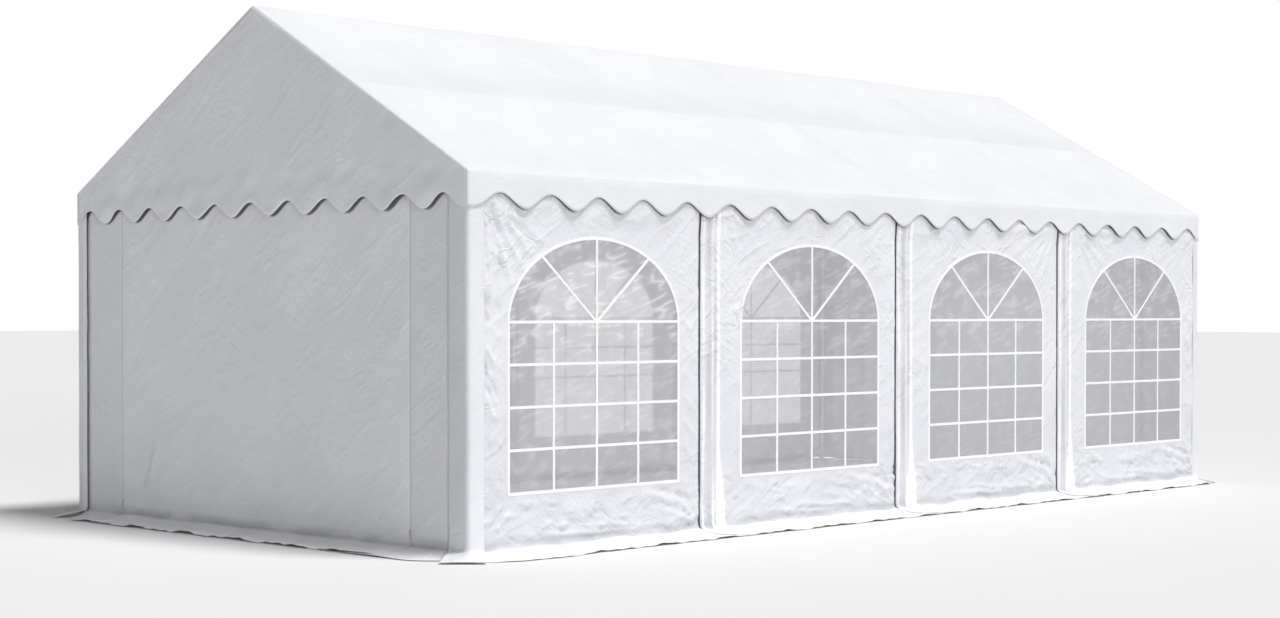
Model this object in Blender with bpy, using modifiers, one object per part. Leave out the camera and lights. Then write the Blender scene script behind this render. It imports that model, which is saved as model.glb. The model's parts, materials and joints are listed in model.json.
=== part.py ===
"""A frame marquee of 4 by 8 metres: galvanised steel tube under white coated cloth.

Metres, +Z up. X runs along the 8 m side and Y across the 4 m side. The origin is on the ground,
under the middle of the tent. The front, with -Y outwards, and the rear are long sides with windows.
The left end, with -X outwards, and the right end are the gables with the zipped door panels.
"""

import math

import bmesh
import bpy
from mathutils import Matrix, Vector

# Driving dimensions of the whole tent
LENGTH = 8.0
WIDTH = 4.0
BAYS = 4
EAVE_HEIGHT = 2.20
RIDGE_HEIGHT = 3.30

# Cloth, modelled thicker than the real half millimetre
SHEET = 0.005
GAP = 0.0003

# Steel tube
TUBE_RADIUS = 0.025
PURLIN_RADIUS = 0.019
TUBE_SIDES = 16
BEND_RADIUS = 0.06
BEND_STEPS = 4
POST_INSET = 0.040
SPIGOT_DROP = 0.15
PLATE_SIDE = 0.10
PLATE_THICKNESS = 0.006

# Walls: how far each plane lies inside the eave line
WALL_INSET = 0.020
WRAP_INSET = 0.0055
WRAP_RADIUS = 0.03
WRAP_STEPS = 4
SWELL = 0.0135
SWELL_PAST_POST = 0.086
SWELL_STEPS = 6

# Ground flap at the foot of every wall
FLAP_REACH = 0.20
FLAP_BEND = 0.055
FLAP_BEND_STEPS = 3
CORNER_FLAP_REACH = 0.132
FLAP_SLANT = 0.085
FLAP_SLANT_REACH = 0.12

# Seams: where wall panels end, measured from a corner or a post
SEAM_BEFORE_POST = 0.057
NEAR_CORNER_LAP = (0.140, 0.187)
FAR_CORNER_LAP = (0.068, 0.096)
LAP_STEP = 0.027
ZIP_FROM_MIDDLE = 1.478

# Windows, each in the middle of its bay or nearly so
WINDOW_WIDTH = 1.41
WINDOW_SHIFT = 0.036
WINDOW_SPRING = 1.34
WINDOW_ARCH_RISE = 0.49
WINDOW_ROW = 0.245
WINDOW_ROWS = 4
ARCH_STEPS = 20

# Scalloped edge of the valance
VALANCE_CREST_DROP = 0.126
VALANCE_LOBE_DROP = 0.215
LONG_SCALLOPS = 20
GABLE_SCALLOPS = 11
SCALLOP_STEPS = 8

# Values that follow from the ones above
BAY = LENGTH / BAYS
PITCH = math.atan2(RIDGE_HEIGHT - EAVE_HEIGHT, WIDTH / 2)
SLOPE = math.tan(PITCH)
SHEET_DROP = SHEET / math.cos(PITCH)
POST_Y = WIDTH / 2 - POST_INSET
POST_X = LENGTH / 2 - POST_INSET
FRAME_PLACES = [-POST_X, -BAY, 0.0, BAY, POST_X]
WALL_Y = WIDTH / 2 - WALL_INSET
WALL_X = LENGTH / 2 - WALL_INSET
# The tube's middle line lies this far straight below the cover's outer face.
TUBE_DROP = (SHEET + GAP + TUBE_RADIUS) / math.cos(PITCH)

COLOURS = {
    "cover_cloth": ((0.86, 0.87, 0.89), 0.42, 0.0),
    "wall_cloth": ((0.82, 0.83, 0.85), 0.45, 0.0),
    "window_film": ((0.80, 0.83, 0.85), 0.15, 0.0),
    "steel_tube": ((0.55, 0.57, 0.59), 0.38, 0.9),
}


def clear_scene():
    for thing in list(bpy.data.objects):
        bpy.data.objects.remove(thing, do_unlink=True)


def make_collection(name):
    collection = bpy.data.collections.new(name)
    bpy.context.scene.collection.children.link(collection)
    return collection


def make_material(name):
    colour, roughness, metallic = COLOURS[name]
    material = bpy.data.materials.new(name)
    material.use_nodes = True
    shader = material.node_tree.nodes["Principled BSDF"]
    shader.inputs["Base Color"].default_value = (*colour, 1.0)
    shader.inputs["Roughness"].default_value = roughness
    shader.inputs["Metallic"].default_value = metallic
    return material


def add_object(name, mesh, collection, material=None):
    made = bpy.data.objects.new(name, mesh)
    collection.objects.link(made)
    if material:
        mesh.materials.clear()
        mesh.materials.append(material)
    return made


def mesh_from(builder, name):
    mesh = bpy.data.meshes.new(name)
    builder.to_mesh(mesh)
    builder.free()
    return mesh


def as_mesh(curve_object, name):
    """The evaluated mesh of a curve object, with its loose caps welded. The curve is removed."""
    bpy.context.view_layer.update()
    graph = bpy.context.evaluated_depsgraph_get()
    mesh = bpy.data.meshes.new_from_object(curve_object.evaluated_get(graph))
    mesh.name = name
    builder = bmesh.new()
    builder.from_mesh(mesh)
    bmesh.ops.remove_doubles(builder, verts=builder.verts, dist=0.00001)
    builder.to_mesh(mesh)
    builder.free()
    mesh.transform(curve_object.matrix_world)
    bpy.data.objects.remove(curve_object, do_unlink=True)
    return mesh


def outline_mesh(name, points, thickness, turn):
    """A flat outline, drawn in the curve's own XY plane, filled and extruded to the thickness."""
    curve = bpy.data.curves.new(name, "CURVE")
    curve.dimensions = "2D"
    curve.fill_mode = "BOTH"
    curve.extrude = thickness / 2
    spline = curve.splines.new("POLY")
    spline.points.add(len(points) - 1)
    for point, (across, up) in zip(spline.points, points):
        point.co = (across, up, 0.0, 1.0)
    spline.use_cyclic_u = True
    drawn = bpy.data.objects.new(name, curve)
    bpy.context.scene.collection.objects.link(drawn)
    drawn.matrix_world = turn
    return as_mesh(drawn, name)


def facing(side, offset):
    """Stands an outline up along X, with its middle plane at y = side * offset."""
    return Matrix.Translation((0, side * offset, 0)) @ Matrix.Rotation(math.pi / 2, 4, "X")


def facing_end(side, offset):
    """Stands an outline up along Y, with its middle plane at x = side * offset."""
    upright = Matrix.Rotation(math.pi / 2, 4, "Z") @ Matrix.Rotation(math.pi / 2, 4, "X")
    return Matrix.Translation((side * offset, 0, 0)) @ upright


def cut(target, cutter):
    modifier = target.modifiers.new("cut", "BOOLEAN")
    modifier.operation = "DIFFERENCE"
    modifier.solver = "EXACT"
    modifier.object = cutter


def as_cutter(thing):
    thing.hide_render = True
    thing.display_type = "WIRE"
    return thing


def round_shading(mesh):
    mesh.shade_smooth()
    mesh.set_sharp_from_angle(angle=math.radians(35))


# Steel frame


def bend_points(corner, before, after):
    """Points of the round bend between two straight runs that meet at the corner."""
    corner = Vector(corner)
    arrive = (corner - Vector(before)).normalized()
    leave = (Vector(after) - corner).normalized()
    turn = arrive.angle(leave)
    back = BEND_RADIUS * math.tan(turn / 2)
    inward = (leave - arrive).normalized()
    centre = corner + inward * BEND_RADIUS / math.cos(turn / 2)
    start = corner - arrive * back - centre
    axis = arrive.cross(leave).normalized()
    return [
        centre + Matrix.Rotation(turn * step / BEND_STEPS, 3, axis) @ start
        for step in range(BEND_STEPS + 1)
    ]


def rafter_line():
    """The middle line of one pair of rafters, from spigot to spigot, and its three bends."""
    eave_z = EAVE_HEIGHT - TUBE_DROP + POST_INSET * SLOPE
    ridge = (0, 0, RIDGE_HEIGHT - TUBE_DROP)
    front_foot = (0, -POST_Y, eave_z - SPIGOT_DROP)
    front_eave = (0, -POST_Y, eave_z)
    rear_eave = (0, POST_Y, eave_z)
    rear_foot = (0, POST_Y, eave_z - SPIGOT_DROP)
    bends = [
        bend_points(front_eave, front_foot, ridge),
        bend_points(ridge, front_eave, rear_eave),
        bend_points(rear_eave, ridge, rear_foot),
    ]
    line = [Vector(front_foot), *bends[0], *bends[1], *bends[2], Vector(rear_foot)]
    return line, [bend[BEND_STEPS // 2] for bend in bends]


def purlin_places():
    """Where the five purlins cross the frames, as (name, y, z)."""
    front, ridge, rear = rafter_line()[1]
    middle_y = POST_Y / 2
    middle_z = RIDGE_HEIGHT - TUBE_DROP - middle_y * SLOPE
    return [
        ("front_eave_purlin", front.y, front.z),
        ("front_middle_purlin", -middle_y, middle_z),
        ("ridge_purlin", ridge.y, ridge.z),
        ("rear_middle_purlin", middle_y, middle_z),
        ("rear_eave_purlin", rear.y, rear.z),
    ]


def bar_along_x(radius, length, y, z):
    builder = bmesh.new()
    turn = Matrix.Translation((0, y, z)) @ Matrix.Rotation(math.pi / 2, 4, "Y")
    bmesh.ops.create_cone(
        builder, cap_ends=True, segments=TUBE_SIDES, radius1=radius, radius2=radius,
        depth=length, matrix=turn,
    )
    return builder


def make_rafters(parts, cutters, steel):
    """One bent pair of rafters, bored for the purlins, and its four copies along the tent."""
    curve = bpy.data.curves.new("rafter_line", "CURVE")
    curve.dimensions = "3D"
    curve.bevel_depth = TUBE_RADIUS
    curve.bevel_resolution = (TUBE_SIDES - 4) // 2
    curve.use_fill_caps = True
    line = rafter_line()[0]
    spline = curve.splines.new("POLY")
    spline.points.add(len(line) - 1)
    for point, place in zip(spline.points, line):
        point.co = (*place, 1.0)
    drawn = bpy.data.objects.new("rafter_line", curve)
    bpy.context.scene.collection.objects.link(drawn)
    mesh = as_mesh(drawn, "rafters")
    round_shading(mesh)
    bores = []
    for name, y, z in purlin_places():
        bore = mesh_from(bar_along_x(PURLIN_RADIUS + GAP, 4 * TUBE_RADIUS, y, z), name + "_bore")
        bores.append(as_cutter(add_object(name + "_bore", bore, cutters)))
    whole = add_object("rafters_whole", mesh, cutters, steel)
    for bore in bores:
        cut(whole, bore)
    bpy.context.view_layer.update()
    graph = bpy.context.evaluated_depsgraph_get()
    bored = bpy.data.meshes.new_from_object(whole.evaluated_get(graph))
    as_cutter(whole)
    for number, place in enumerate(FRAME_PLACES, 1):
        rafters = add_object(f"rafter_pair_{number}", bored, parts, steel)
        rafters.location.x = place


def make_posts(parts, cutters, steel):
    """A post is a tube on a square foot plate, which reaches inwards from the tube's outer side."""
    top = rafter_line()[0][0].z - GAP
    builder = bmesh.new()
    bmesh.ops.create_cone(
        builder, cap_ends=True, segments=TUBE_SIDES, radius1=TUBE_RADIUS, radius2=TUBE_RADIUS,
        depth=top - PLATE_THICKNESS / 2,
        matrix=Matrix.Translation((0, 0, (top + PLATE_THICKNESS / 2) / 2)),
    )
    tube = mesh_from(builder, "post_tube")
    round_shading(tube)
    inward = PLATE_SIDE / 2 - TUBE_RADIUS
    for number, place in enumerate(FRAME_PLACES, 1):
        along = 0.0
        if number in (1, len(FRAME_PLACES)):
            along = -math.copysign(inward, place)
        for side_name, side in (("front", -1), ("rear", 1)):
            name = f"{side_name}_post_{number}"
            builder = bmesh.new()
            bmesh.ops.create_cube(builder, size=1.0)
            bmesh.ops.scale(builder, vec=(PLATE_SIDE, PLATE_SIDE, PLATE_THICKNESS), verts=builder.verts)
            place_plate = (along, -side * inward, PLATE_THICKNESS / 2)
            bmesh.ops.translate(builder, vec=place_plate, verts=builder.verts)
            plate = as_cutter(add_object(name + "_plate", mesh_from(builder, name + "_plate"), cutters))
            plate.location = (place, side * POST_Y, 0)
            post = add_object(name, tube.copy(), parts, steel)
            post.location = (place, side * POST_Y, 0)
            join = post.modifiers.new("foot plate", "BOOLEAN")
            join.operation = "UNION"
            join.solver = "EXACT"
            join.object = plate


def make_purlins(parts, steel):
    for name, y, z in purlin_places():
        mesh = mesh_from(bar_along_x(PURLIN_RADIUS, 2 * (POST_X + TUBE_RADIUS), y, z), name)
        round_shading(mesh)
        add_object(name, mesh, parts, steel)


# Roof cover


def make_slopes(parts, cloth):
    """Each slope of the cover is one flat sheet, drawn as its section and extruded to the tent's length."""
    for name, side in (("front", -1), ("rear", 1)):
        top = side * GAP / 2
        eave = side * WIDTH / 2
        under_ridge = RIDGE_HEIGHT - SHEET_DROP
        outline = [
            (eave, EAVE_HEIGHT - SHEET_DROP),
            (top, under_ridge - GAP / 2 * SLOPE),
            (top, RIDGE_HEIGHT - GAP / 2 * SLOPE),
            (eave, EAVE_HEIGHT),
        ]
        label = f"{name}_roof_slope"
        add_object(label, outline_mesh(label, outline, LENGTH, facing_end(1, 0)), parts, cloth)


def scallops(half, count, steps):
    """The wavy lower edge, from one end to the other: a lobe at each end and between the crests."""
    middle = EAVE_HEIGHT - (VALANCE_CREST_DROP + VALANCE_LOBE_DROP) / 2
    swing = (VALANCE_LOBE_DROP - VALANCE_CREST_DROP) / 2
    total = count * steps
    edge = []
    for step in range(total + 1):
        across = -half + 2 * half * step / total
        edge.append((across, middle - swing * math.cos(2 * math.pi * step / steps)))
    return edge


def make_valances(parts, cloth):
    top = EAVE_HEIGHT - SHEET_DROP - GAP
    for name, side in (("front", -1), ("rear", 1)):
        edge = scallops(LENGTH / 2, LONG_SCALLOPS, SCALLOP_STEPS)
        outline = edge + [(LENGTH / 2, top), (-LENGTH / 2, top)]
        label = f"{name}_valance"
        mesh = outline_mesh(label, outline, SHEET, facing(side, WIDTH / 2 - SHEET / 2))
        add_object(label, mesh, parts, cloth)


def make_gables(parts, cloth):
    """Each gable cloth is the triangle under the slopes and the scalloped valance, in one piece."""
    half = WIDTH / 2 - SHEET - GAP
    lift = EAVE_HEIGHT - SHEET_DROP - GAP / math.cos(PITCH)
    peak = lift + WIDTH / 2 * SLOPE
    shoulder = lift + (SHEET + GAP) * SLOPE
    for name, side in (("left", -1), ("right", 1)):
        edge = scallops(half, GABLE_SCALLOPS, SCALLOP_STEPS)
        outline = edge + [(half, shoulder), (0.0, peak), (-half, shoulder)]
        label = f"{name}_gable"
        mesh = outline_mesh(label, outline, SHEET, facing_end(side, LENGTH / 2 - SHEET / 2))
        add_object(label, mesh, parts, cloth)


# Walls


def wall_top():
    """The walls end just under the eave purlins."""
    return purlin_places()[0][2] - PURLIN_RADIUS - GAP


def wall_section():
    """The upright section of a wall as (outwards, z), with outwards as a share of the flap's reach."""
    section = [(0.0, wall_top()), (0.0, SHEET + FLAP_BEND)]
    for step in range(1, FLAP_BEND_STEPS + 1):
        angle = math.pi / 2 * step / FLAP_BEND_STEPS
        outwards = FLAP_BEND * (1 - math.cos(angle)) / FLAP_REACH
        section.append((outwards, SHEET + FLAP_BEND * (1 - math.sin(angle))))
    section.append((1.0, SHEET))
    return section


def wall_sheet(name, line, collection, cloth):
    """A wall is a loft: the upright section is carried along the line of the wall in plan.

    Each place on the line is (x, y, reach in x, reach in y), with the outer side on the right hand.
    """
    section = wall_section()
    builder = bmesh.new()
    rows = [
        [builder.verts.new((x + share * rx, y + share * ry, z)) for share, z in section]
        for x, y, rx, ry in line
    ]
    for first, second in zip(rows, rows[1:]):
        for low in range(len(section) - 1):
            builder.faces.new((first[low], first[low + 1], second[low + 1], second[low]))
    sheet = add_object(name, mesh_from(builder, name), collection, cloth)
    thick = sheet.modifiers.new("cloth", "SOLIDIFY")
    thick.thickness = SHEET
    thick.offset = -1
    return sheet


def turned(line, half_turn):
    """The same line on the opposite side of the tent, which is the first one turned half round."""
    if not half_turn:
        return line
    return [(-x, -y, -rx, -ry) for x, y, rx, ry in line]


def swell(x, start, stop):
    """How far a wall stands out round its post: one smooth hump, from its seam to a little past the post."""
    share = min((x - start) / (stop - start), 1.0)
    return SWELL * 0.5 * (1 - math.cos(2 * math.pi * share))


def long_wall_line(start, end, post):
    """The line of a front wall. Beside a corner its ground flap slants off to meet the corner's flap."""
    if post is None:
        places = [start, start + FLAP_SLANT]
    else:
        stop = post + SWELL_PAST_POST
        places = [start + (stop - start) * step / SWELL_STEPS for step in range(SWELL_STEPS + 1)]
    if end > POST_X - BAY / 2:
        places.append(end - FLAP_SLANT)
    places.append(end)
    line = []
    for x in places:
        out = swell(x, start, stop) if post is not None else 0.0
        line.append((x, -(WALL_Y + out), 0.0, -(FLAP_REACH + WALL_INSET - out)))
    if post is None:
        line[0] = (start, -WALL_Y, -FLAP_SLANT_REACH, -FLAP_SLANT_REACH - GAP)
    if end > POST_X - BAY / 2:
        line[-1] = (end, -WALL_Y, FLAP_SLANT_REACH, -FLAP_SLANT_REACH - GAP)
    return line


def window_outline(middle, inset):
    """A rectangle under a flattened round arch, which is half an ellipse."""
    half = WINDOW_WIDTH / 2 - inset
    rise = WINDOW_ARCH_RISE - inset
    foot = WINDOW_SPRING - WINDOW_ROWS * WINDOW_ROW + inset
    outline = [(middle - half, foot), (middle + half, foot)]
    for step in range(ARCH_STEPS + 1):
        angle = math.pi * step / ARCH_STEPS
        outline.append((middle + half * math.cos(angle), WINDOW_SPRING + rise * math.sin(angle)))
    return outline


def make_long_walls(parts, cutters, cloth, film):
    left = -LENGTH / 2
    seams = [left + NEAR_CORNER_LAP[0]]
    seams += [left + BAY * bay - SEAM_BEFORE_POST for bay in range(1, BAYS)]
    seams.append(LENGTH / 2 - FAR_CORNER_LAP[0])
    for side_name, side in (("front", -1), ("rear", 1)):
        for bay in range(BAYS):
            post = None if bay == 0 else FRAME_PLACES[bay]
            line = long_wall_line(seams[bay] + GAP / 2, seams[bay + 1] - GAP / 2, post)
            name = f"{side_name}_wall_{bay + 1}"
            wall = wall_sheet(name, turned(line, side > 0), parts, cloth)
            middle = -side * (left + BAY * (bay + 0.5) + WINDOW_SHIFT)
            plane = facing(side, WALL_Y - SHEET / 2)
            hole = outline_mesh(name + "_hole", window_outline(middle, 0.0), 6 * SHEET, plane)
            cut(wall, as_cutter(add_object(name + "_hole", hole, cutters)))
            name = f"{side_name}_window_{bay + 1}"
            pane = outline_mesh(name, window_outline(middle, GAP), SHEET, plane)
            add_object(name, pane, parts, film)


def corner_line(laps):
    """The line of a corner panel, from the door's zip along the end wall and round the corner post.

    It is drawn for the corner at -X, -Y. Its ground flap turns with it: straight out along the end
    wall, and then in one band that leaves the corner diagonally and ends in one straight cut.
    """
    front_lap, end_lap = laps
    half_x, half_y = LENGTH / 2, WIDTH / 2
    flat = FLAP_REACH + WALL_INSET
    line = [
        (-WALL_X, -ZIP_FROM_MIDDLE - GAP / 2, -flat, 0.0),
        (-WALL_X, -half_y + end_lap, -flat, 0.0),
    ]
    wrap = [(-half_x + WRAP_INSET, -half_y + end_lap - LAP_STEP)]
    centre_x = -half_x + WRAP_INSET + WRAP_RADIUS
    centre_y = -half_y + WRAP_INSET + WRAP_RADIUS
    for step in range(WRAP_STEPS + 1):
        angle = math.pi + math.pi / 2 * step / WRAP_STEPS
        wrap.append((centre_x + WRAP_RADIUS * math.cos(angle), centre_y + WRAP_RADIUS * math.sin(angle)))
    wrap.append((-half_x + front_lap - LAP_STEP, -half_y + WRAP_INSET))
    wrap.append((-half_x + front_lap - GAP / 2, -WALL_Y))
    diagonal = math.sqrt(0.5)
    for x, y in wrap:
        passed = -(x + half_x + y + half_y) * diagonal
        reach = (CORNER_FLAP_REACH - passed) * diagonal
        line.append((x, y, -reach, -reach))
    return line


def mirrored(line):
    """The line of the corner at the other end: X changes sign, so the order is turned round."""
    return [(-x, y, -rx, ry) for x, y, rx, ry in reversed(line)]


def make_end_walls(parts, cloth):
    flat = FLAP_REACH + WALL_INSET
    door = ZIP_FROM_MIDDLE - GAP / 2
    door_line = [(-WALL_X, door, -flat, 0.0), (-WALL_X, -door, -flat, 0.0)]
    near = corner_line(NEAR_CORNER_LAP)
    far = mirrored(corner_line(FAR_CORNER_LAP))
    wall_sheet("left_door_panel", door_line, parts, cloth)
    wall_sheet("right_door_panel", turned(door_line, True), parts, cloth)
    wall_sheet("front_left_corner_panel", near, parts, cloth)
    wall_sheet("front_right_corner_panel", far, parts, cloth)
    wall_sheet("rear_right_corner_panel", turned(near, True), parts, cloth)
    wall_sheet("rear_left_corner_panel", turned(far, True), parts, cloth)


def main():
    clear_scene()
    parts = make_collection("marquee_tent")
    cutters = make_collection("marquee_tent_cutters")
    cover = make_material("cover_cloth")
    wall = make_material("wall_cloth")
    film = make_material("window_film")
    steel = make_material("steel_tube")
    make_rafters(parts, cutters, steel)
    make_posts(parts, cutters, steel)
    make_purlins(parts, steel)
    make_slopes(parts, cover)
    make_valances(parts, cover)
    make_gables(parts, cover)
    make_long_walls(parts, cutters, wall, film)
    make_end_walls(parts, wall)


main()
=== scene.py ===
# %% [markdown]
# # Dressing a white frame marquee
# The real tent is a frame of galvanised steel tube with coated white cloth pulled over it. The packed
# model has every solid at its real size. Here they get their looks: cloth that sags and creases, clear
# film with white bars, zips, and zinc on the steel.
# Nothing made below may change the tent's size.

import json
import math

import bmesh
import bpy
import numpy as np
from mathutils import Matrix, Vector

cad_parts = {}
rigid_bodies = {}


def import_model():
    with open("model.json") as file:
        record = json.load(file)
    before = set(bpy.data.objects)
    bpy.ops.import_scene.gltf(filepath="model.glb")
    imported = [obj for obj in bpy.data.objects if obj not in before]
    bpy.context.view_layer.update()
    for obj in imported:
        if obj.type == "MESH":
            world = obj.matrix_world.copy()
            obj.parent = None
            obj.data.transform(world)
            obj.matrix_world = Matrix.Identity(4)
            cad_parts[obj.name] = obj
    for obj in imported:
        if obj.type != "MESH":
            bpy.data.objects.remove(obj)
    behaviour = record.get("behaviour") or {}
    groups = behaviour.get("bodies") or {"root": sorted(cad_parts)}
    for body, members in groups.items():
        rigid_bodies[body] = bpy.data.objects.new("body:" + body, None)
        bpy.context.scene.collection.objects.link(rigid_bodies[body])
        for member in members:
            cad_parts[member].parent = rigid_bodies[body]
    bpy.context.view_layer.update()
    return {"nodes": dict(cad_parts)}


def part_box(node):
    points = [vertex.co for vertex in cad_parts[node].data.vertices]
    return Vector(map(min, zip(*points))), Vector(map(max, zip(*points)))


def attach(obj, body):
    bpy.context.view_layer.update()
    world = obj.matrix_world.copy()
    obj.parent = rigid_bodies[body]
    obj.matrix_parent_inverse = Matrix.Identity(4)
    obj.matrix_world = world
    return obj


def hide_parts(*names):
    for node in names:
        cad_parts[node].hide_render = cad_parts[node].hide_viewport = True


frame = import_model()
scene = bpy.context.scene

# %% [markdown]
# ## Where the picture is taken from
# A long lens stands about twelve metres off the near corner, a little above a person's waist. The picture
# is a crop, so the lens axis lies 38 pixels right of and below its middle, which a small shift repeats.

# %% Camera
IMAGE_WIDTH = 1280
OFF_CENTRE = 38
EYE = (-12.2215, -11.2764, 1.4089)
YAW, LOOK_UP, ROLL = -0.82, -0.0166, 0.001
LENS = 62.179


def link(name, data):
    """An object with this data, put into the scene."""
    made = bpy.data.objects.new(name, data)
    scene.collection.objects.link(made)
    return made


camera_data = bpy.data.cameras.new("camera")
camera_data.sensor_width = 36
camera_data.lens = LENS
camera_data.shift_x = -OFF_CENTRE / IMAGE_WIDTH
camera_data.shift_y = OFF_CENTRE / IMAGE_WIDTH
camera_data.clip_end = 500
camera = link("camera", camera_data)
aim = Matrix.Rotation(YAW, 4, "Z") @ Matrix.Rotation(math.pi / 2 + LOOK_UP, 4, "X")
camera.matrix_world = Matrix.Translation(EYE) @ aim @ Matrix.Rotation(ROLL, 4, "Z")
scene.camera = camera
scene.view_settings.view_transform = "Standard"
print("camera at", EYE, "with a lens of", LENS, "mm")

# %% [markdown]
# ## Light
# The long side and the roof are bright, and the gable and its ground flap are in shade. So a soft sun
# stands high in front, a little to the right. A weak low one from the front left only grazes the gable:
# there it lights one side of each crease. The rest is even light from all round, and light that comes back
# up from the floor. Four lamps stand for the daylight that comes through the cloth to the tent's inside.

# %% Light
SUNS = {
    "key_light": ((0.15, -0.413, 0.898), 2.68, 17),
    "low_light": ((-0.36, -0.915, 0.17), 0.62, 12),
}
EVEN_LIGHT = 0.22
BACKDROP = 1
INSIDE_LIGHT = 7.4
INSIDE_HEIGHT = 1.3
INSIDE_RADIUS = 0.6

for name, (towards, strength, softness) in SUNS.items():
    data = bpy.data.lights.new(name, "SUN")
    data.energy = strength
    data.angle = math.radians(softness)
    sun = link(name, data)
    sun.rotation_mode = "QUATERNION"
    sun.rotation_quaternion = Vector(towards).to_track_quat("Z", "Y")
for number in range(4):
    data = bpy.data.lights.new(f"inside_light_{number + 1}", "POINT")
    data.energy = INSIDE_LIGHT
    data.shadow_soft_size = INSIDE_RADIUS
    lamp = link(data.name, data)
    lamp.location = (2 * number - 3, 0, INSIDE_HEIGHT)
    lamp.visible_camera = False

scene.world = bpy.data.worlds.new("even_light")
scene.world.use_nodes = True
sky = scene.world.node_tree
sky.nodes.clear()
rays = sky.nodes.new("ShaderNodeLightPath")
choose = sky.nodes.new("ShaderNodeMixShader")
out = sky.nodes.new("ShaderNodeOutputWorld")
sky.links.new(rays.outputs["Is Camera Ray"], choose.inputs[0])
for slot, colour, strength in ((1, (0.97, 0.985, 1, 1), EVEN_LIGHT), (2, (1, 1, 1, 1), BACKDROP)):
    light = sky.nodes.new("ShaderNodeBackground")
    light.inputs["Color"].default_value = colour
    light.inputs["Strength"].default_value = strength
    sky.links.new(light.outputs[0], choose.inputs[slot])
sky.links.new(choose.outputs[0], out.inputs["Surface"])
print("suns", list(SUNS), "and four lamps inside")


# %% [markdown]
# ## Writing shader maths as Python
# A material is a small program whose steps are nodes. Math nodes joined by hand are hard to read, so one
# class wraps a socket and lets it take part in sums: each operator adds its node. Every other node comes
# from one method, which takes its type, its settings and what goes into its sockets.

# %% Shader helpers
class Value:
    """A number that changes over a surface: the output socket of a node in one material."""

    def __init__(self, paint, socket):
        self.paint, self.socket = paint, socket

    def maths(self, operation, *terms):
        return self.paint.node("ShaderNodeMath", {"operation": operation}, dict(enumerate(terms)))

    def __add__(self, other):
        return self.maths("ADD", self, other)

    def __sub__(self, other):
        return self.maths("SUBTRACT", self, other)

    def __rsub__(self, other):
        return self.maths("SUBTRACT", other, self)

    def __mul__(self, other):
        return self.maths("MULTIPLY", self, other)

    def __pow__(self, other):
        return self.maths("POWER", self, other)

    def __mod__(self, other):
        return self.maths("FLOORED_MODULO", self, other)

    def __abs__(self):
        return self.maths("ABSOLUTE", self)

    __radd__ = __add__
    __rmul__ = __mul__


class Paint:
    """One material: a Principled shader and the nodes that feed it. In socket names _ stands for a space."""

    def __init__(self, name, **constants):
        self.material = bpy.data.materials.new(name)
        self.material.use_nodes = True
        self.tree = self.material.node_tree
        self.shader = self.tree.nodes["Principled BSDF"]
        for socket, number in constants.items():
            self.shader.inputs[socket.replace("_", " ")].default_value = number

    def feed(self, **values):
        for socket, value in values.items():
            self.tree.links.new(value.socket, self.shader.inputs[socket.replace("_", " ")])

    def node(self, kind, settings=None, values=None, output=0):
        """Add a node. Its settings come first, then numbers or links for its sockets."""
        made = self.tree.nodes.new(kind)
        for name, setting in (settings or {}).items():
            setattr(made, name, setting)
        for name, value in (values or {}).items():
            if isinstance(value, Value):
                self.tree.links.new(value.socket, made.inputs[name])
            else:
                made.inputs[name].default_value = value
        return Value(self, made.outputs[output])

    def cloth_map(self):
        return self.node("ShaderNodeUVMap", {"uv_map": "cloth"})

    def object_place(self):
        return self.node("ShaderNodeTexCoord", output=3)

    def axis(self, vector, number):
        """One coordinate of a vector: 0, 1 or 2."""
        return self.node("ShaderNodeSeparateXYZ", None, {0: vector}, number)

    def stretched(self, place, angle, length):
        """Coordinates that draw a pattern out along an angle. A TEXTURE mapping turns, then scales."""
        values = {"Vector": place, "Rotation": (0, 0, math.radians(angle)), "Scale": (length, 1, 1)}
        return self.node("ShaderNodeMapping", {"vector_type": "TEXTURE"}, values)

    def noise(self, place, scale, detail=3, warp=0):
        return self.node("ShaderNodeTexNoise", None, {
            "Vector": place, "Scale": scale, "Detail": detail, "Roughness": 0.5, "Distortion": warp})

    def bands(self, place, way, scale):
        return self.node("ShaderNodeTexWave", {"bands_direction": way}, {"Vector": place, "Scale": scale})

    def ramp(self, value, low, high, start=0, end=1):
        """A smooth step: start where the value is low, end where it is high."""
        values = {0: value, 1: low, 2: high, 3: start, 4: end}
        return self.node("ShaderNodeMapRange", {"interpolation_type": "SMOOTHSTEP"}, values)

    def mix(self, factor, first, second):
        """A colour between two colours, each a link or red, green and blue."""
        first, second = (c if isinstance(c, Value) else (*c, 1) for c in (first, second))
        return self.node("ShaderNodeMix", {"data_type": "RGBA"}, {0: factor, 6: first, 7: second}, 2)

    def bump(self, height):
        """Turn a height in metres into a bent normal."""
        values = {"Height": height, "Strength": 1, "Distance": 1}
        self.feed(Normal=self.node("ShaderNodeBump", None, values))
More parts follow.
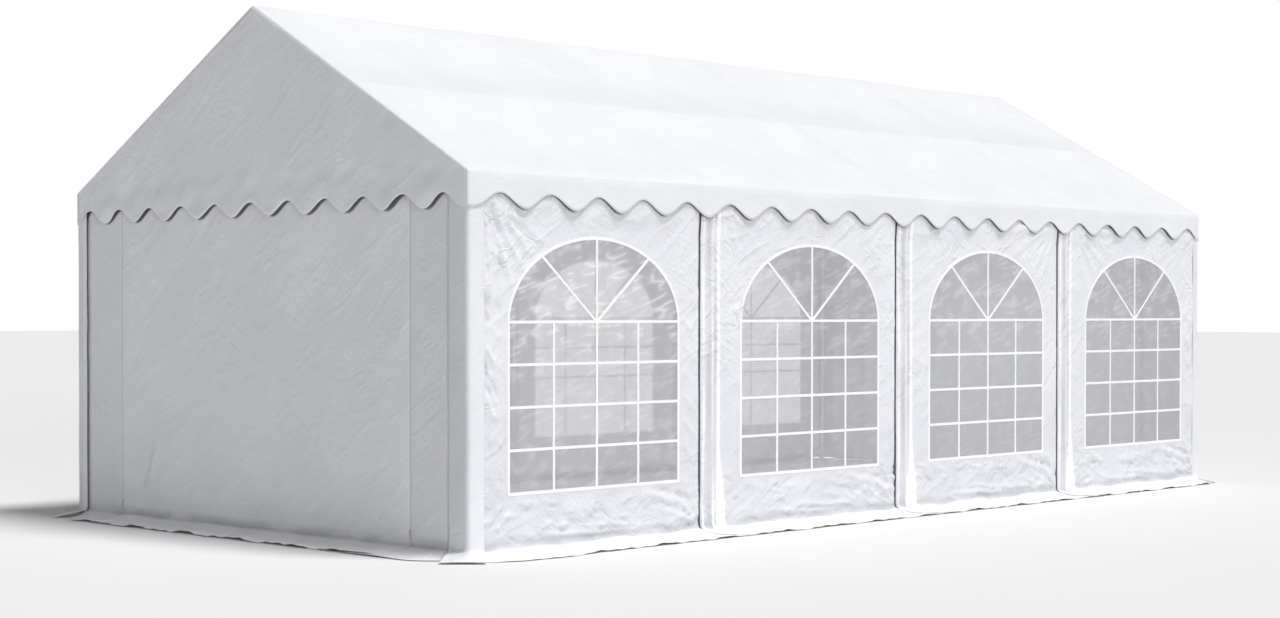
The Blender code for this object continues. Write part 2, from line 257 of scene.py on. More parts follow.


# %% [markdown]
# ## Coated cloth
# The cloth is polyester scrim under a soft white coating, with a low sheen and full of small sharp creases
# from being packed. The creases are bump. Noise folded at its middle value, 1 - |2n - 1|, gives thin
# ridges, and drawing it out along an angle makes them short strokes. Most strokes rise to the right, and
# in patches they fall to the right.
# Hollows are painted a little darker and crests a little lighter, painted shade and painted highlight that
# bring the creases out. The grids below store the height of their own folds, from -1 in a hollow to 1 on a
# crest, for the same use. They add painted shade at seams, slits and corner panels, and painted light on
# the highest crests and on the corner's foot band.
# They also store how far a wall's point lies above the valance's lower edge, plus 1 m. From 14 mm below that
# edge up, the wall is painted dark, a painted shadow of the valance.
# All of it is drawn on the cloth's own map, in metres, so that it follows the cloth round every bend. On
# the walls that map's height is about 0 at the ground bend. The ground flap below it is painted whiter,
# painted light on its face turned to the sky, and a band of painted shade runs just above the bend.
# The roof is darker where a tube below it keeps out the light from inside.

# %% Cloth material
ROOF_GLOSS = 0.15
WALL_GLOSS = 0.35
PAINTED_LIGHT_WHITE = (0.95, 0.95, 0.955)
PAINTED_SLOPE_LIGHT = (0.822, 0.827, 0.845)
TUBE_SHADE = (0.783, 0.789, 0.809)
SHADE_GREY = (0.5, 0.51, 0.545)
VALANCE_SHADOW_GREY = (0.17, 0.173, 0.185)
SHADE_IN_CREASES = 0.55
GROUND_SHADE = 0.24
WHITE = (0.815, 0.821, 0.856)
GREYER = (0.785, 0.791, 0.828)
COVER_WHITE = (0.802, 0.808, 0.832)
COVER_GREYER = (0.77, 0.777, 0.803)


def ridges(noise):
    """1 - |2n - 1|: thin crests wherever the noise passes its middle value."""
    return 1 - abs(noise * 2 - 1)


def tube_shade(paint):
    """1 where the cover lies on a tube: a band above each middle purlin, and streaks along the rafters."""
    place = paint.object_place()
    away = abs(paint.axis(place, 1))
    purlin = paint.ramp(away, 0.45, 0.97) * paint.ramp(away, 0.97, 0.99, 1, 0)
    rafter = paint.ramp(abs((paint.axis(place, 0) + 5) % 2 - 1), 0, 0.11, 1, 0)
    broken = paint.ramp(paint.noise(place, 1.7, 2), 0.42, 0.62)
    cloud = paint.ramp(paint.noise(place, 1.1, 2), 0.3, 0.55, 0.35, 1)
    above = paint.ramp(paint.axis(place, 2), 2.205, 2.24)
    return (purlin * cloud + rafter * broken * 0.7) * above


def cloth_material(name, colour, shade, roughness, crease, kind):
    """White coated cloth. Shade is its greyer colour and crease the depth of its creases in metres."""
    paint = Paint(name, Specular_IOR_Level=ROOF_GLOSS if kind == "roof" else WALL_GLOSS, IOR=1.45)
    place = paint.cloth_map()
    rising = paint.stretched(place, 36, 2.6)
    falling = paint.stretched(place, -32, 2.4)
    broad = ridges(paint.noise(rising, 6, 1, 0.4)) ** 2
    strokes = ridges(paint.noise(rising, 19, 1.5, 0.6)) ** 3
    crossing = ridges(paint.noise(falling, 17, 1.5, 0.6)) ** 3
    dents = paint.noise(place, 34, 1)
    where = paint.ramp(paint.noise(place, 2.7), 0.4, 0.6)
    worn = paint.ramp(paint.noise(place, 2.1, 2), 0.38, 0.62, 0.12, 1)
    weave = paint.bands(place, "X", 90) + paint.bands(place, "Y", 90)
    fine = (strokes * where + crossing * (1 - where)) * worn
    paint.bump((broad * 0.9 + fine * 0.6 + dents * 0.28) * crease + weave * 0.000012)
    relief_shading, valance_shade = (paint.node("ShaderNodeAttribute", {"attribute_name": stored}, output=2)
                       for stored in ("relief_shading", "valance_shade"))
    # Painted shade: hollows of the stored folds and of the bump's creases are painted greyer.
    crease_light = relief_shading * 0.5 + (broad * 0.4 + fine - 0.25) * SHADE_IN_CREASES + 0.5
    tone = paint.mix(paint.ramp(paint.noise(place, 1.3), 0.3, 0.7), shade, colour)
    if kind == "wall":
        height = paint.axis(place, 1)
        # Painted shade: the long walls are painted darker towards the ground.
        if name == "long_wall_cloth":
            tone = paint.mix(paint.ramp(height, 0.25, 1.5, GROUND_SHADE, 0), tone, SHADE_GREY)
        # Painted shade: a band just above the ground bend is painted darker, as the bend's shadow.
        bend_shade = paint.ramp(height, 0.03, 0.05) * paint.ramp(height, 0.06, 0.12, 1, 0)
        tone = paint.mix(bend_shade * paint.ramp(paint.noise(place, 3.5, 2), 0.35, 0.6, 0.25, 0.8), tone, SHADE_GREY)
        # Painted light: the ground flap below the bend is painted whiter, for the light on its upward face.
        tone = paint.mix(paint.ramp(height, 0.02, 0.04, 1, 0), tone, PAINTED_LIGHT_WHITE)
    if kind == "roof":
        # Painted light: the slopes, one cloth with the valances, get their own lighter white for the sun on
        # them.
        tone = paint.mix(paint.ramp(paint.axis(paint.object_place(), 2), 2.19, 2.21), tone, PAINTED_SLOPE_LIGHT)
        tone = paint.mix(tube_shade(paint), tone, TUBE_SHADE)
    tone = paint.mix((1 - crease_light) * 0.2, tone, SHADE_GREY)
    # Painted highlight where the stored value passes 1: on the highest crests, the pleats, and the corner's
    # foot band.
    tone = paint.mix((relief_shading - 1) * 0.5, tone, PAINTED_LIGHT_WHITE)
    # Painted shadow of the valance: the wall darkens from 14 mm below the valance's edge upwards.
    tone = paint.mix(paint.ramp(valance_shade, 0.986, 1.006), tone, VALANCE_SHADOW_GREY)
    rough = paint.ramp(paint.noise(place, 18, 4), 0.3, 0.7, roughness - 0.05, roughness + 0.06)
    paint.feed(Base_Color=tone, Roughness=rough)
    return paint.material


COVER = cloth_material("cover_cloth", COVER_WHITE, COVER_GREYER, 0.56, 0.0018, "roof")
GABLE = cloth_material("gable_cloth", WHITE, GREYER, 0.42, 0.0028, "plain")
LONG_WALL = cloth_material("long_wall_cloth", WHITE, GREYER, 0.44, 0.011, "wall")
END_WALL = cloth_material("end_wall_cloth", WHITE, GREYER, 0.44, 0.0034, "wall")
print("nodes in the cover's cloth:", len(COVER.node_tree.nodes))


# %% [markdown]
# ## Clear film, white bars, zips and zinc
# The windows are clear soft film, a little grey and wavy. Short whitish streaks that rise to the right are
# painted highlights, where a wave would catch the light. Most light goes through, so its alpha is low, and
# higher on the painted streaks. The first window is the most rumpled; the films' maps lie 5 m apart, which
# tells it from the others. Bars and borders are strips of bright film welded on. Zinc has a faint spangle,
# which a cell pattern gives.

# %% Other materials
def film_material():
    paint = Paint("window_film", Roughness=0.2, Specular_IOR_Level=0.5, IOR=1.5)
    place = paint.cloth_map()
    rising = paint.stretched(place, 15, 5.5)
    wavy = ridges(paint.noise(rising, 9, 1, 0.3)) ** 2
    streaks = ridges(paint.noise(rising, 21, 0, 0.2)) ** 4
    patches = paint.ramp(paint.noise(place, 8, 1), 0.4, 0.62)
    in_arch = paint.ramp(paint.axis(place, 1), 0.95, 1.45, 0.3, 1)
    rumpled = paint.ramp(paint.axis(place, 0), 6, 9, 1, 0.45)
    # Painted highlights: whitish streaks where a wave would catch the light, mostly in the arch.
    glints = streaks * patches * in_arch * rumpled
    paint.bump(wavy * rumpled * 0.0012)
    paint.feed(Base_Color=paint.mix(glints, (0.66, 0.66, 0.69), (0.92, 0.92, 0.94)),
               Alpha=glints * 0.24 + 0.5)
    return paint.material


def bar_material():
    paint = Paint("white_bars", Specular_IOR_Level=0.45)
    grain = paint.noise(paint.cloth_map(), 60)
    paint.bump(grain * 0.0002)
    paint.feed(Base_Color=paint.mix(grain, (0.9, 0.9, 0.905), (0.95, 0.95, 0.95)),
               Roughness=paint.ramp(grain, 0.3, 0.7, 0.3, 0.4))
    return paint.material


def steel_material():
    paint = Paint("galvanised_steel")
    place = paint.object_place()
    cells = paint.node("ShaderNodeTexVoronoi", None, {"Vector": place, "Scale": 70}, 1)
    grey = paint.node("ShaderNodeRGBToBW", None, {0: cells})
    dull = paint.noise(place, 9, 4)
    paint.bump(dull * 0.0003)
    tone = paint.mix(grey * 0.6 + dull * 0.4, (0.5, 0.52, 0.54), (0.68, 0.7, 0.72))
    paint.feed(Base_Color=tone, Roughness=paint.ramp(dull, 0.3, 0.7, 0.34, 0.52),
               Metallic=paint.ramp(grey, 0, 1, 0.8, 0.95))
    return paint.material


def zip_material():
    paint = Paint("zip_tape", Specular_IOR_Level=0.4)
    teeth = paint.bands(paint.cloth_map(), "Y", 70)
    paint.bump(teeth * 0.0004)
    paint.feed(Base_Color=paint.mix(teeth, (0.44, 0.44, 0.45), (0.62, 0.62, 0.63)),
               Roughness=paint.ramp(teeth, 0, 1, 0.4, 0.55))
    return paint.material


def floor_material():
    paint = Paint("studio_floor", Specular_IOR_Level=0.1)
    cloud = paint.noise(paint.object_place(), 0.5, 2)
    paint.feed(Base_Color=paint.mix(cloud, (0.84, 0.84, 0.84), (0.86, 0.86, 0.86)),
               Roughness=paint.ramp(cloud, 0, 1, 0.85, 0.95))
    return paint.material


FILM, BARS, STEEL, ZIP = film_material(), bar_material(), steel_material(), zip_material()
FLOOR_SIZE = 240
FLOOR_DROP = 0.0006

bpy.ops.mesh.primitive_plane_add(size=FLOOR_SIZE, location=(0, 0, -FLOOR_DROP))
floor = bpy.context.object
floor.name = "studio_floor"
floor.data.materials.append(floor_material())
print("materials", len(bpy.data.materials))


# %% [markdown]
# ## Sheets as grids
# Every cloth piece is a grid: rows run down and columns to the right, as seen from outside. All points are
# worked out at once as arrays, and one function turns the grid into a mesh. It can leave out cells, for a
# window, and it writes the cloth's own map.

# %% From grids to meshes
CLOTH_THICKNESS = 0.0015
TURN = 2 * math.pi


def points_of(*parts):
    """Join coordinates, each an array or one number for all, to an array of points."""
    return np.stack(np.broadcast_arrays(*parts), axis=-1)


def quads(number):
    """The corners of each cell of a grid of point numbers: down, right, up and back, so faces point out."""
    return np.stack([number[:-1, :-1], number[1:, :-1], number[1:, 1:], number[:-1, 1:]], axis=-1)


def join(name, parts, material):
    """One smooth object from parts, each its points, its arrays of faces and its map.

    A map's first two numbers become the UV layer. Further ones become two attributes for painted shade
    and light: the height of the folds, and the height above the valance's lower edge.
    """
    points, faces, maps, first = [], [], [], 0
    for places, cells, cloth_map in parts:
        points.append(places)
        maps.append(cloth_map)
        for alike in cells:
            faces += (alike + first).tolist()
        first += len(places)
    mesh = bpy.data.meshes.new(name)
    mesh.from_pydata(np.vstack(points), [], faces)
    corners = np.empty(len(mesh.loops), dtype=np.int32)
    mesh.loops.foreach_get("vertex_index", corners)
    cloth_map = np.vstack(maps).astype(np.float32)
    mesh.uv_layers.new(name="cloth").data.foreach_set("uv", cloth_map[corners, :2].ravel())
    for stored, label in zip(cloth_map.T[2:], ("relief_shading", "valance_shade")):
        mesh.attributes.new(label, "FLOAT", "POINT").data.foreach_set("value", np.ascontiguousarray(stored))
    mesh.materials.append(material)
    mesh.shade_smooth()
    return link(name, mesh)


def sheet_piece(name, grids, material, thickness=CLOTH_THICKNESS):
    """One object from grids, each its places, its map and, for a window, a mask of the cells to keep."""
    parts = []
    for places, cloth_map, *keep in grids:
        number = np.arange(places[..., 0].size).reshape(places.shape[:2])
        used, cells = np.unique(quads(number)[tuple(keep)], return_inverse=True)
        parts.append((places.reshape(-1, 3)[used], [cells.reshape(-1, 4)],
                      cloth_map.reshape(-1, cloth_map.shape[-1])[used]))
    made = join(name, parts, material)
    if thickness:
        thick = made.modifiers.new("thickness", "SOLIDIFY")
        thick.thickness, thick.offset = thickness, -1
    return made


def turned(part):
    """The same grid or solid on the opposite side of the tent, half a turn about Z."""
    return part[0] * [-1, -1, 1], *part[1:]


def mirrored(grid):
    """The same grid at the other end, with the columns turned round so that faces still point out."""
    places, cloth_map = grid
    return (places * [-1, 1, 1])[:, ::-1], cloth_map[:, ::-1]


# %% [markdown]
# ## A profile carried along a path
# Bars and zips are all one closed outline carried along a line. Each ring is the line's point plus
# the outline, drawn on two directions square to the line. The ends are closed by a fan round a centre.

# %% Carried profiles
def run_along(*parts):
    """Distance from a line's first point to each of its points, from the line's coordinates."""
    return np.concatenate([[0], np.cumsum(np.linalg.norm(np.diff(parts), axis=0))])


def directions(path, closed):
    """Unit vectors along a path: from the point before to the point after."""
    ahead = np.roll(path, -1, axis=0) - np.roll(path, 1, axis=0) if closed else np.gradient(path, axis=0)
    return ahead / np.linalg.norm(ahead, axis=1, keepdims=True)


def carry(path, side, profile, closed=False):
    """Rings = path + profile_x * side + profile_y * (side x direction), as (points, faces, map)."""
    side = np.broadcast_to(side, path.shape)
    up = np.cross(side, directions(path, closed))
    rings = path[:, None] + profile[None, :, :1] * side[:, None] + profile[None, :, 1:] * up[:, None]
    count, around = rings.shape[:2]
    number = np.pad(np.arange(count * around).reshape(count, around), ((0, closed), (0, 1)), mode="wrap")
    faces = [quads(number).reshape(-1, 4)]
    run = run_along(*path.T)
    across = np.cumsum(np.linalg.norm(profile - np.roll(profile, 1, axis=0), axis=1))
    places, grid_map = rings.reshape(-1, 3), points_of(across, run[:, None]).reshape(-1, 2)
    if not closed:
        first = count * around
        faces += [points_of(first, number[0, :-1], number[0, 1:]),
                  points_of(first + 1, number[-1, 1:], number[-1, :-1])]
        places = np.vstack([places, path[[0, -1]]])
        grid_map = np.vstack([grid_map, points_of(0, run[[0, -1]])])
    return places, faces, grid_map


def solid_piece(name, solids, material):
    """One object from closed solids, with its normals turned outwards."""
    made = join(name, solids, material)
    builder = bmesh.new()
    builder.from_mesh(made.data)
    bmesh.ops.recalc_face_normals(builder, faces=builder.faces)
    builder.to_mesh(made.data)
    builder.free()
    made.data.set_sharp_from_angle(angle=math.radians(40))
    return made


def ring(radius, sides):
    """A round outline: radius times cos and sin of even angles."""
    angle = np.linspace(0, TURN, sides, endpoint=False)
    return radius * points_of(np.cos(angle), np.sin(angle))


def flat_bar(width, height, edge):
    """A flat outline with its four edges cut off at 45 degrees."""
    w, h = width / 2, height / 2
    return np.array([(-w + edge, -h), (w - edge, -h), (w, -h + edge), (w, h - edge),
                     (w - edge, h), (-w + edge, h), (-w, h - edge), (-w, -h + edge)])


# %% [markdown]
# ## Folds and creases
# Cloth is never flat. Folds fan out from where it is pinned, it ripples where it is slack, and all over it
# keeps soft dents. Each is a height added outwards, a formula on two coordinates of the cloth, so the
# same folds carry on from the wall across the window's film and bars.

# %% Fold shapes
def smooth(x, low, high):
    """0 below low, 1 above high, and 3t^2 - 2t^3 between them."""
    t = np.clip((x - low) / (high - low), 0, 1)
    return t * t * (3 - 2 * t)


def fall(x, low, high):
    """1 below low and 0 above high."""
    return 1 - smooth(x, low, high)


def hump(x, middle, reach):
    """A soft bump: half of 1 + cos, which is 1 at the middle and 0 at the reach."""
    return 0.5 * (1 + np.cos(math.pi * np.clip((x - middle) / reach, -1, 1)))


def waves(s, *terms):
    """A sum of sines. Each term is a size, a length in metres and a phase."""
    return sum(size * np.sin(TURN * s / long + phase) for size, long, phase in terms)


def fold(u, v, start, end, width, height):
    """A ridge from start to end: height * exp(-(distance / width)^2), which fades in and out along it."""
    (u0, v0), (u1, v1) = start, end
    long = math.hypot(u1 - u0, v1 - v0)
    along = ((u - u0) * (u1 - u0) + (v - v0) * (v1 - v0)) / long ** 2
    across = ((u - u0) * (v1 - v0) - (v - v0) * (u1 - u0)) / long
    return height * smooth(along, -0.08, 0.35) * fall(along, 0.6, 1.08) * np.exp(-(across / width) ** 2)


def fan(u, v, tip, aims, reach, spread, height):
    """Folds that run out from a pinned tip. Each is a ridge in angle, so it widens with its distance."""
    far = np.hypot(u - tip[0], v - tip[1])
    angle = np.arctan2(v - tip[1], u - tip[0])
    fade = smooth(far, 0, 0.22 * reach) * fall(far, 0.5 * reach, reach)
    off = ((angle - math.radians(aim) + math.pi) % TURN - math.pi for aim in aims)
    return height * fade * sum(np.exp(-(turn / spread) ** 2) for turn in off)


def crumple(u, v, seed, count, long, width, height, lean, area=None):
    """Many short folds at random places, some out and some in. Lean is the range of their angles."""
    random = np.random.default_rng(seed)
    total = 0
    low_u, high_u, low_v, high_v = area or (u.min(), u.max(), v.min(), v.max())
    for _ in range(count):
        middle = np.array([random.uniform(low_u, high_u), random.uniform(low_v, high_v)])
        angle = math.radians(random.uniform(*lean))
        half = 0.5 * long * random.uniform(0.5, 1.3) * np.array([math.cos(angle), math.sin(angle)])
        size = height * random.uniform(0.35, 1) * random.choice([-1, 1])
        total = total + fold(u, v, middle - half, middle + half, width * random.uniform(0.6, 1.4), size)
    return total


def swells(u, v, seed, long, height, count=7):
    """Slow undulation: a sum of sine waves of random direction and phase, each about long metres long."""
    random = np.random.default_rng(seed)
    total = 0
    for _ in range(count):
        angle, phase = random.uniform(0, TURN, 2)
        along = u * math.cos(angle) + v * math.sin(angle)
        total = total + np.sin(TURN / (long * random.uniform(0.7, 1.5)) * along + phase)
    return height * total / math.sqrt(count)


def add_up(u, v, rows):
    """The sum of several shapes. Each row is one of the functions above and its values after u and v."""
    return sum(shape(u, v, *values) for shape, *values in rows)


def relief_of(high, full=0.006):
    """The folds' height as a number from -1 to 1, which is full at a height of 6 mm."""
    return np.clip(high / full, -1, 1)


# %% [markdown]
# ## The tent's own sizes
# These are the sizes that the pieces share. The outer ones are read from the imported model; the rest are
# the real tent's: four bays of two metres, eaves at 2.20 m, and a ground flap that lies 0.20 m wide.

# %% Sizes
slope_low, slope_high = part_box("front_roof_slope")
HALF_LENGTH, HALF_WIDTH, RIDGE = slope_high.x, -slope_low.y, slope_high.z
EAVE = 2.2
PITCH = math.atan2(RIDGE - EAVE, HALF_WIDTH)
BAY = HALF_LENGTH / 2
WALL_IN = 0.02
WALL_Y = HALF_WIDTH - WALL_IN
WALL_X = HALF_LENGTH - WALL_IN
WALL_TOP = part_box("left_door_panel")[1].z
VALANCE_IN = HALF_WIDTH - 0.0018
FLAP_REACH = 0.2 + WALL_IN
POSTS = [-BAY, 0, BAY]
SEAMS = [-3.86, -2.057, -0.057, 1.943, 3.932]
UNDERLAP = 0.024
FLOOR_CLEAR = 0.004
print("pitch", round(math.degrees(PITCH), 2), "degrees, wall top", round(WALL_TOP, 3))

# %% [markdown]
# ## The cover
# The cover is one sheet: both slopes and both long valances. It is drawn as rows that follow the section,
# over the ridge, down the slope, round the eave and down the valance, and as columns along the tent. It
# sags a little between the tubes that carry it, its two end edges turn down, and the hanging valances
# wave. Their lower edge is a row of round lobes, 0.4 m apart, which are a little wider near the left end.

# %% Roof cover
COVER_SINK = 0.0033
RIDGE_ROUND = 0.04
EAVE_ROUND = 0.026
LIP = 0.012
VALANCE_LIP = 0.017
CREST_DROP = 0.126
LOBE_DROP = 0.215
LONG_LOBES = 20
GABLE_LOBES = 11
PURLIN_SAG = 0.0055
CELL_SAG = 0.022
MIDDLE_PURLIN_Y = 0.975


def lobed_edge(x, half, lobes):
    """Height of the valance's lower edge: a sine between crest and lobe, with a lobe at each end."""
    middle = EAVE - (CREST_DROP + LOBE_DROP) / 2
    return middle - (LOBE_DROP - CREST_DROP) / 2 * np.cos(TURN * lobes * (x + half) / (2 * half))


def long_edge(x):
    """The edge of a long valance at x, from the left as seen from outside. Its first lobes are set right."""
    return lobed_edge(x - 0.043 * fall(x + HALF_LENGTH, 0.6, 1.9), HALF_LENGTH, LONG_LOBES)


def gable_edge(y):
    """The edge of a gable's valance at y, drawn for the left gable."""
    shift = 0.035 * hump(y, 0.7, 1.2) + 0.035 * hump(y, -2, 0.4)
    return lobed_edge(y - shift, HALF_WIDTH, GABLE_LOBES)


def cover_rows():
    """The front half of the section, ridge to valance: y, z, the normal's tilt and the share hanging."""
    sink = COVER_SINK / math.cos(PITCH)
    top = RIDGE - sink - RIDGE_ROUND / math.cos(PITCH)
    bend_y = -(HALF_WIDTH - EAVE_ROUND)
    bend_z = EAVE - sink + EAVE_ROUND * math.tan(PITCH) - EAVE_ROUND / math.cos(PITCH)
    tilt = np.linspace(0, PITCH, 5)
    ridge = points_of(-RIDGE_ROUND * np.sin(tilt), top + RIDGE_ROUND * np.cos(tilt), tilt, 0)
    tilt = np.linspace(PITCH, math.pi / 2, 6)
    eave = points_of(bend_y - EAVE_ROUND * np.sin(tilt), bend_z + EAVE_ROUND * np.cos(tilt), tilt, 0)
    share = np.linspace(0, 1, 28)[1:-1, None]
    slope = ridge[-1] * (1 - share) + eave[0] * share
    valance = points_of(-HALF_WIDTH, bend_z, math.pi / 2, np.linspace(0, 1, 10)[1:])
    return np.vstack([ridge, slope, eave, valance])


def cover_sag(x, y):
    """How far the cover hangs below its straight line between rafters and between purlins."""
    frames = np.array([-HALF_LENGTH, *POSTS, HALF_LENGTH])
    bay = np.clip(np.searchsorted(frames, x, side="right") - 1, 0, 3)
    along = np.sin(math.pi * (x - frames[bay]) / BAY)
    along = np.sqrt(along ** 2 + 0.003) - math.sqrt(0.003)
    away = np.abs(y)
    low = np.where(away > MIDDLE_PURLIN_Y, MIDDLE_PURLIN_Y, 0)
    high = np.where(away > MIDDLE_PURLIN_Y, HALF_WIDTH - 0.07, MIDDLE_PURLIN_Y)
    across = np.sin(math.pi * np.clip((away - low) / (high - low), 0, 1))
    return along * (PURLIN_SAG + CELL_SAG * across)


def off_tubes(x, y):
    """0 where the cover lies on a rafter or on a middle purlin, and 1 from 8 to 10 cm off them."""
    rafter = np.abs((x + HALF_LENGTH + BAY / 2) % BAY - BAY / 2)
    purlin = np.abs(np.abs(y) - MIDDLE_PURLIN_Y)
    return smooth(rafter, 0.02, 0.1) * smooth(purlin, 0.01, 0.08)


def valance_wave(s, hanging, seed):
    """The free edge swings outwards in slow waves that grow towards the bottom."""
    wave = 0.5 + waves(s, (0.3, 0.83, seed), (0.2, 0.37, 2.1 * seed), (0.16, 0.19, 1.3 * seed))
    return 0.01 * np.maximum(wave, 0) * hanging ** 1.5


end = HALF_LENGTH - np.array([0, 0.0015, 0.0045, 0.008, LIP, 0.0175, 0.0245, 0.032])
inner = np.linspace(-(HALF_LENGTH - 0.032), HALF_LENGTH - 0.032, 321)
cover_x = np.concatenate([-end, inner[1:-1], end[::-1]])[None, :]
front = cover_rows()
section = np.vstack([(front * [-1, 1, 1, 1])[:0:-1], front])
y, z, tilt, hanging = section.T[..., None]
facing = np.where(np.arange(len(section)) < len(front) - 1, 1, -1)[:, None]
edge = long_edge(-facing * cover_x)
z = z + hanging * (edge - z)
lip = LIP + (VALANCE_LIP - LIP) * smooth(tilt, PITCH, math.pi / 2)
beyond = np.clip(np.abs(cover_x) - (HALF_LENGTH - lip), 0, lip)
lip_drop = lip - np.sqrt(lip ** 2 - beyond ** 2)
calm = fall(np.abs(cover_x), HALF_LENGTH - 0.2, HALF_LENGTH - 0.03)
swing = 0.6 * valance_wave(cover_x, hanging, 0.6 + facing)
lift = np.where(hanging > 0, swing, -cover_sag(cover_x, y)) * calm
uneven = swells(cover_x, y, 11, 0.7, 0.0016) + crumple(cover_x, y, 13, 70, 0.5, 0.035, 0.003, (30, 75))
lift = lift + uneven * off_tubes(cover_x, y) * (hanging == 0) * calm
lift = lift + (swells(cover_x, z, 12, 0.25, 0.0028) + 0.0028) * hanging * calm - lip_drop
cover_places = points_of(cover_x, y + lift * facing * np.sin(tilt), z + lift * np.cos(tilt))
run = run_along(*section[:, :2].T)[:, None]
cover_map = points_of(cover_x, 20 - run - hanging * (EAVE - edge) * -facing)
roof_cover = sheet_piece("roof_cover", [(cover_places, cover_map)], COVER)
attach(roof_cover, "root")
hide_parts("front_roof_slope", "rear_roof_slope", "front_valance", "rear_valance")

# %% [markdown]
# ## The gable cloths
# Each gable is a triangle with its lobed valance, in one piece. Its rows run from the slope down to the
# lobes, so they spread towards the middle. It meets the cover's turned edge and hangs free below the eave.

# %% Gable cloths
GABLE_X = HALF_LENGTH - 0.0006
GABLE_TUCK = 0.008


def gable_grid(seed):
    """The left gable, from outside: columns from the rear to the front, rows from the slope down."""
    across = np.linspace(1, -1, 177)[None, :]
    down = np.linspace(0, 1, 43)[:, None]
    half = HALF_WIDTH - LIP + 0.001
    slope = (HALF_WIDTH - half * np.abs(across)) * math.tan(PITCH)
    top = EAVE + slope - (COVER_SINK + GABLE_TUCK) / math.cos(PITCH)
    z = top + down * (gable_edge(half * across) - top)
    y = across * (half - (VALANCE_LIP - LIP) * smooth(EAVE - z, -0.01, 0.03))
    free = smooth(EAVE - z, -0.1, 0.2)
    calm = fall(np.abs(y), HALF_WIDTH - 0.2, HALF_WIDTH - 0.03)
    folds = crumple(y, z, seed + 5, 60, 0.24, 0.024, 0.002, (110, 160)) * calm
    lift = valance_wave(y, free, seed)
    lift = lift + smooth(top - z, 0, 0.15) * (0.003 + folds + swells(y, z, seed + 6, 0.45, 0.001))
    lift = lift + 0.004 * free + swells(y, z, seed + 9, 0.24, 0.004) * smooth(EAVE - z, -0.15, 0.05)
    lift = np.maximum(lift, -0.001) * calm
    # The map's third column, the folds' height, paints shade in their hollows.
    return points_of(-(GABLE_X + lift), y, z), points_of(-y + 0.37, z + 7, relief_of(folds, 0.004))


for side, seed, place in (("left", 31, tuple), ("right", 47, turned)):
    gable = sheet_piece(side + "_gable_cloth", [place(gable_grid(seed))], GABLE)
    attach(gable, "root")
    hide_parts(side + "_gable")

# %% [markdown]
# ## How a wall hangs
# Every wall hangs straight to the ground, turns outwards there in a tight crumpled bend, and runs down a
# hollow ramp to its free edge on the ground. The section is one set of rows. Each has a height, a share of
# the flap's reach, the lean of its surface from upright to level, and its place on the cloth's map. The
# columns follow the wall's line in plan: their places, their direction and how far the flap reaches.

# %% The wall's section and line
LOWER_ROWS = 20
BEND_ROWS = 5
FLAP_ROWS = 8
BEND_HEIGHT = 0.05
BEND_ROUND = 0.02
BEND_SHARE = 0.1
RAMP_POWER = 1.6


def ramp_height(share):
    """Height of the flap above the ground: the bend's height times (1 - share) to a power."""
    return BEND_HEIGHT * (1 - share) ** RAMP_POWER


def wall_rows(above, rows=LOWER_ROWS):
    """Upright rows at given heights, more down to the bend, a quadratic curve round it, and the ramp."""
    straight = np.linspace(above[-1, 0], BEND_HEIGHT + BEND_ROUND, rows + 1)[1:]
    t = np.linspace(0, 1, BEND_ROWS + 1)[1:]
    bend_z = (1 - t) ** 2 * (BEND_HEIGHT + BEND_ROUND) + 2 * t * (1 - t) * BEND_HEIGHT
    bend_z = bend_z + t ** 2 * ramp_height(BEND_SHARE)
    out = np.linspace(BEND_SHARE, 1, FLAP_ROWS + 1)[1:]
    height = np.concatenate([straight, bend_z, ramp_height(out)])
    share = np.concatenate([0 * straight, BEND_SHARE * t ** 2, out])
    reach = share * FLAP_REACH
    lean = np.arctan2(np.gradient(reach), -np.gradient(height))
    down = height[0] - run_along(reach, height)
    upright, wide = np.zeros((len(above), 1)), 0 * above[:1]
    return (np.vstack([above, height[:, None] + FLOOR_CLEAR + wide]), np.vstack([upright, share[:, None]]),
            np.vstack([upright, lean[:, None]]), np.vstack([above, down[:, None] + wide]))


def bend_wander(s, z):
    """The bend isn't level: it rises and falls along the wall, by a wave of 1 that fades 0.2 m above it."""
    return waves(s, (0.6, 0.74, 0.4), (0.4, 0.31, 1.9)) * smooth(z, 0, 0.05) * fall(z, 0.07, 0.28)


class Line:
    """A wall's line in plan, from left to right as seen from outside. Its direction may be given."""

    def __init__(self, x, y, reach_x, reach_y, along=None):
        self.x, self.y, self.reach_x, self.reach_y = x, y, reach_x, reach_y
        self.along_x, self.along_y = along or directions(points_of(x, y), False).T
        self.run = run_along(x, y)

    def lay(self, z, share, lean, lift, slide, wander):
        """Place + share * reach + slide along the wall + lift outwards, which turns to upwards with lean."""
        level, upward = lift * np.cos(lean), lift * np.sin(lean)
        x = self.x + share * self.reach_x + slide * self.along_x + level * self.along_y
        y = self.y + share * self.reach_y + slide * self.along_y - level * self.along_x
        height = z + upward + wander * bend_wander(self.run + slide, z)
        return points_of(x, y, np.maximum(height, FLOOR_CLEAR))


def flap_lift(s, share, seed):
    """Waves of a flap's free edge: sines whose lengths share no measure, growing towards the edge."""
    wave = 1.4 + waves(s, (1, 0.53, seed), (0.7, 0.29, 2 * seed), (0.6, 0.131, 3 * seed))
    return 0.0042 * np.maximum(wave, 0) * share ** 3


def flap_wobble(s, share, seed):
    """The flap's edge isn't cut quite straight: a small slide outwards and back."""
    return (waves(s, (0.005, 0.43, seed), (0.003, 0.17, 0)) - 0.004) * share ** 4


print("a flap reaches", round(FLAP_REACH, 3), "m from a wall and starts", BEND_HEIGHT, "m above the ground")

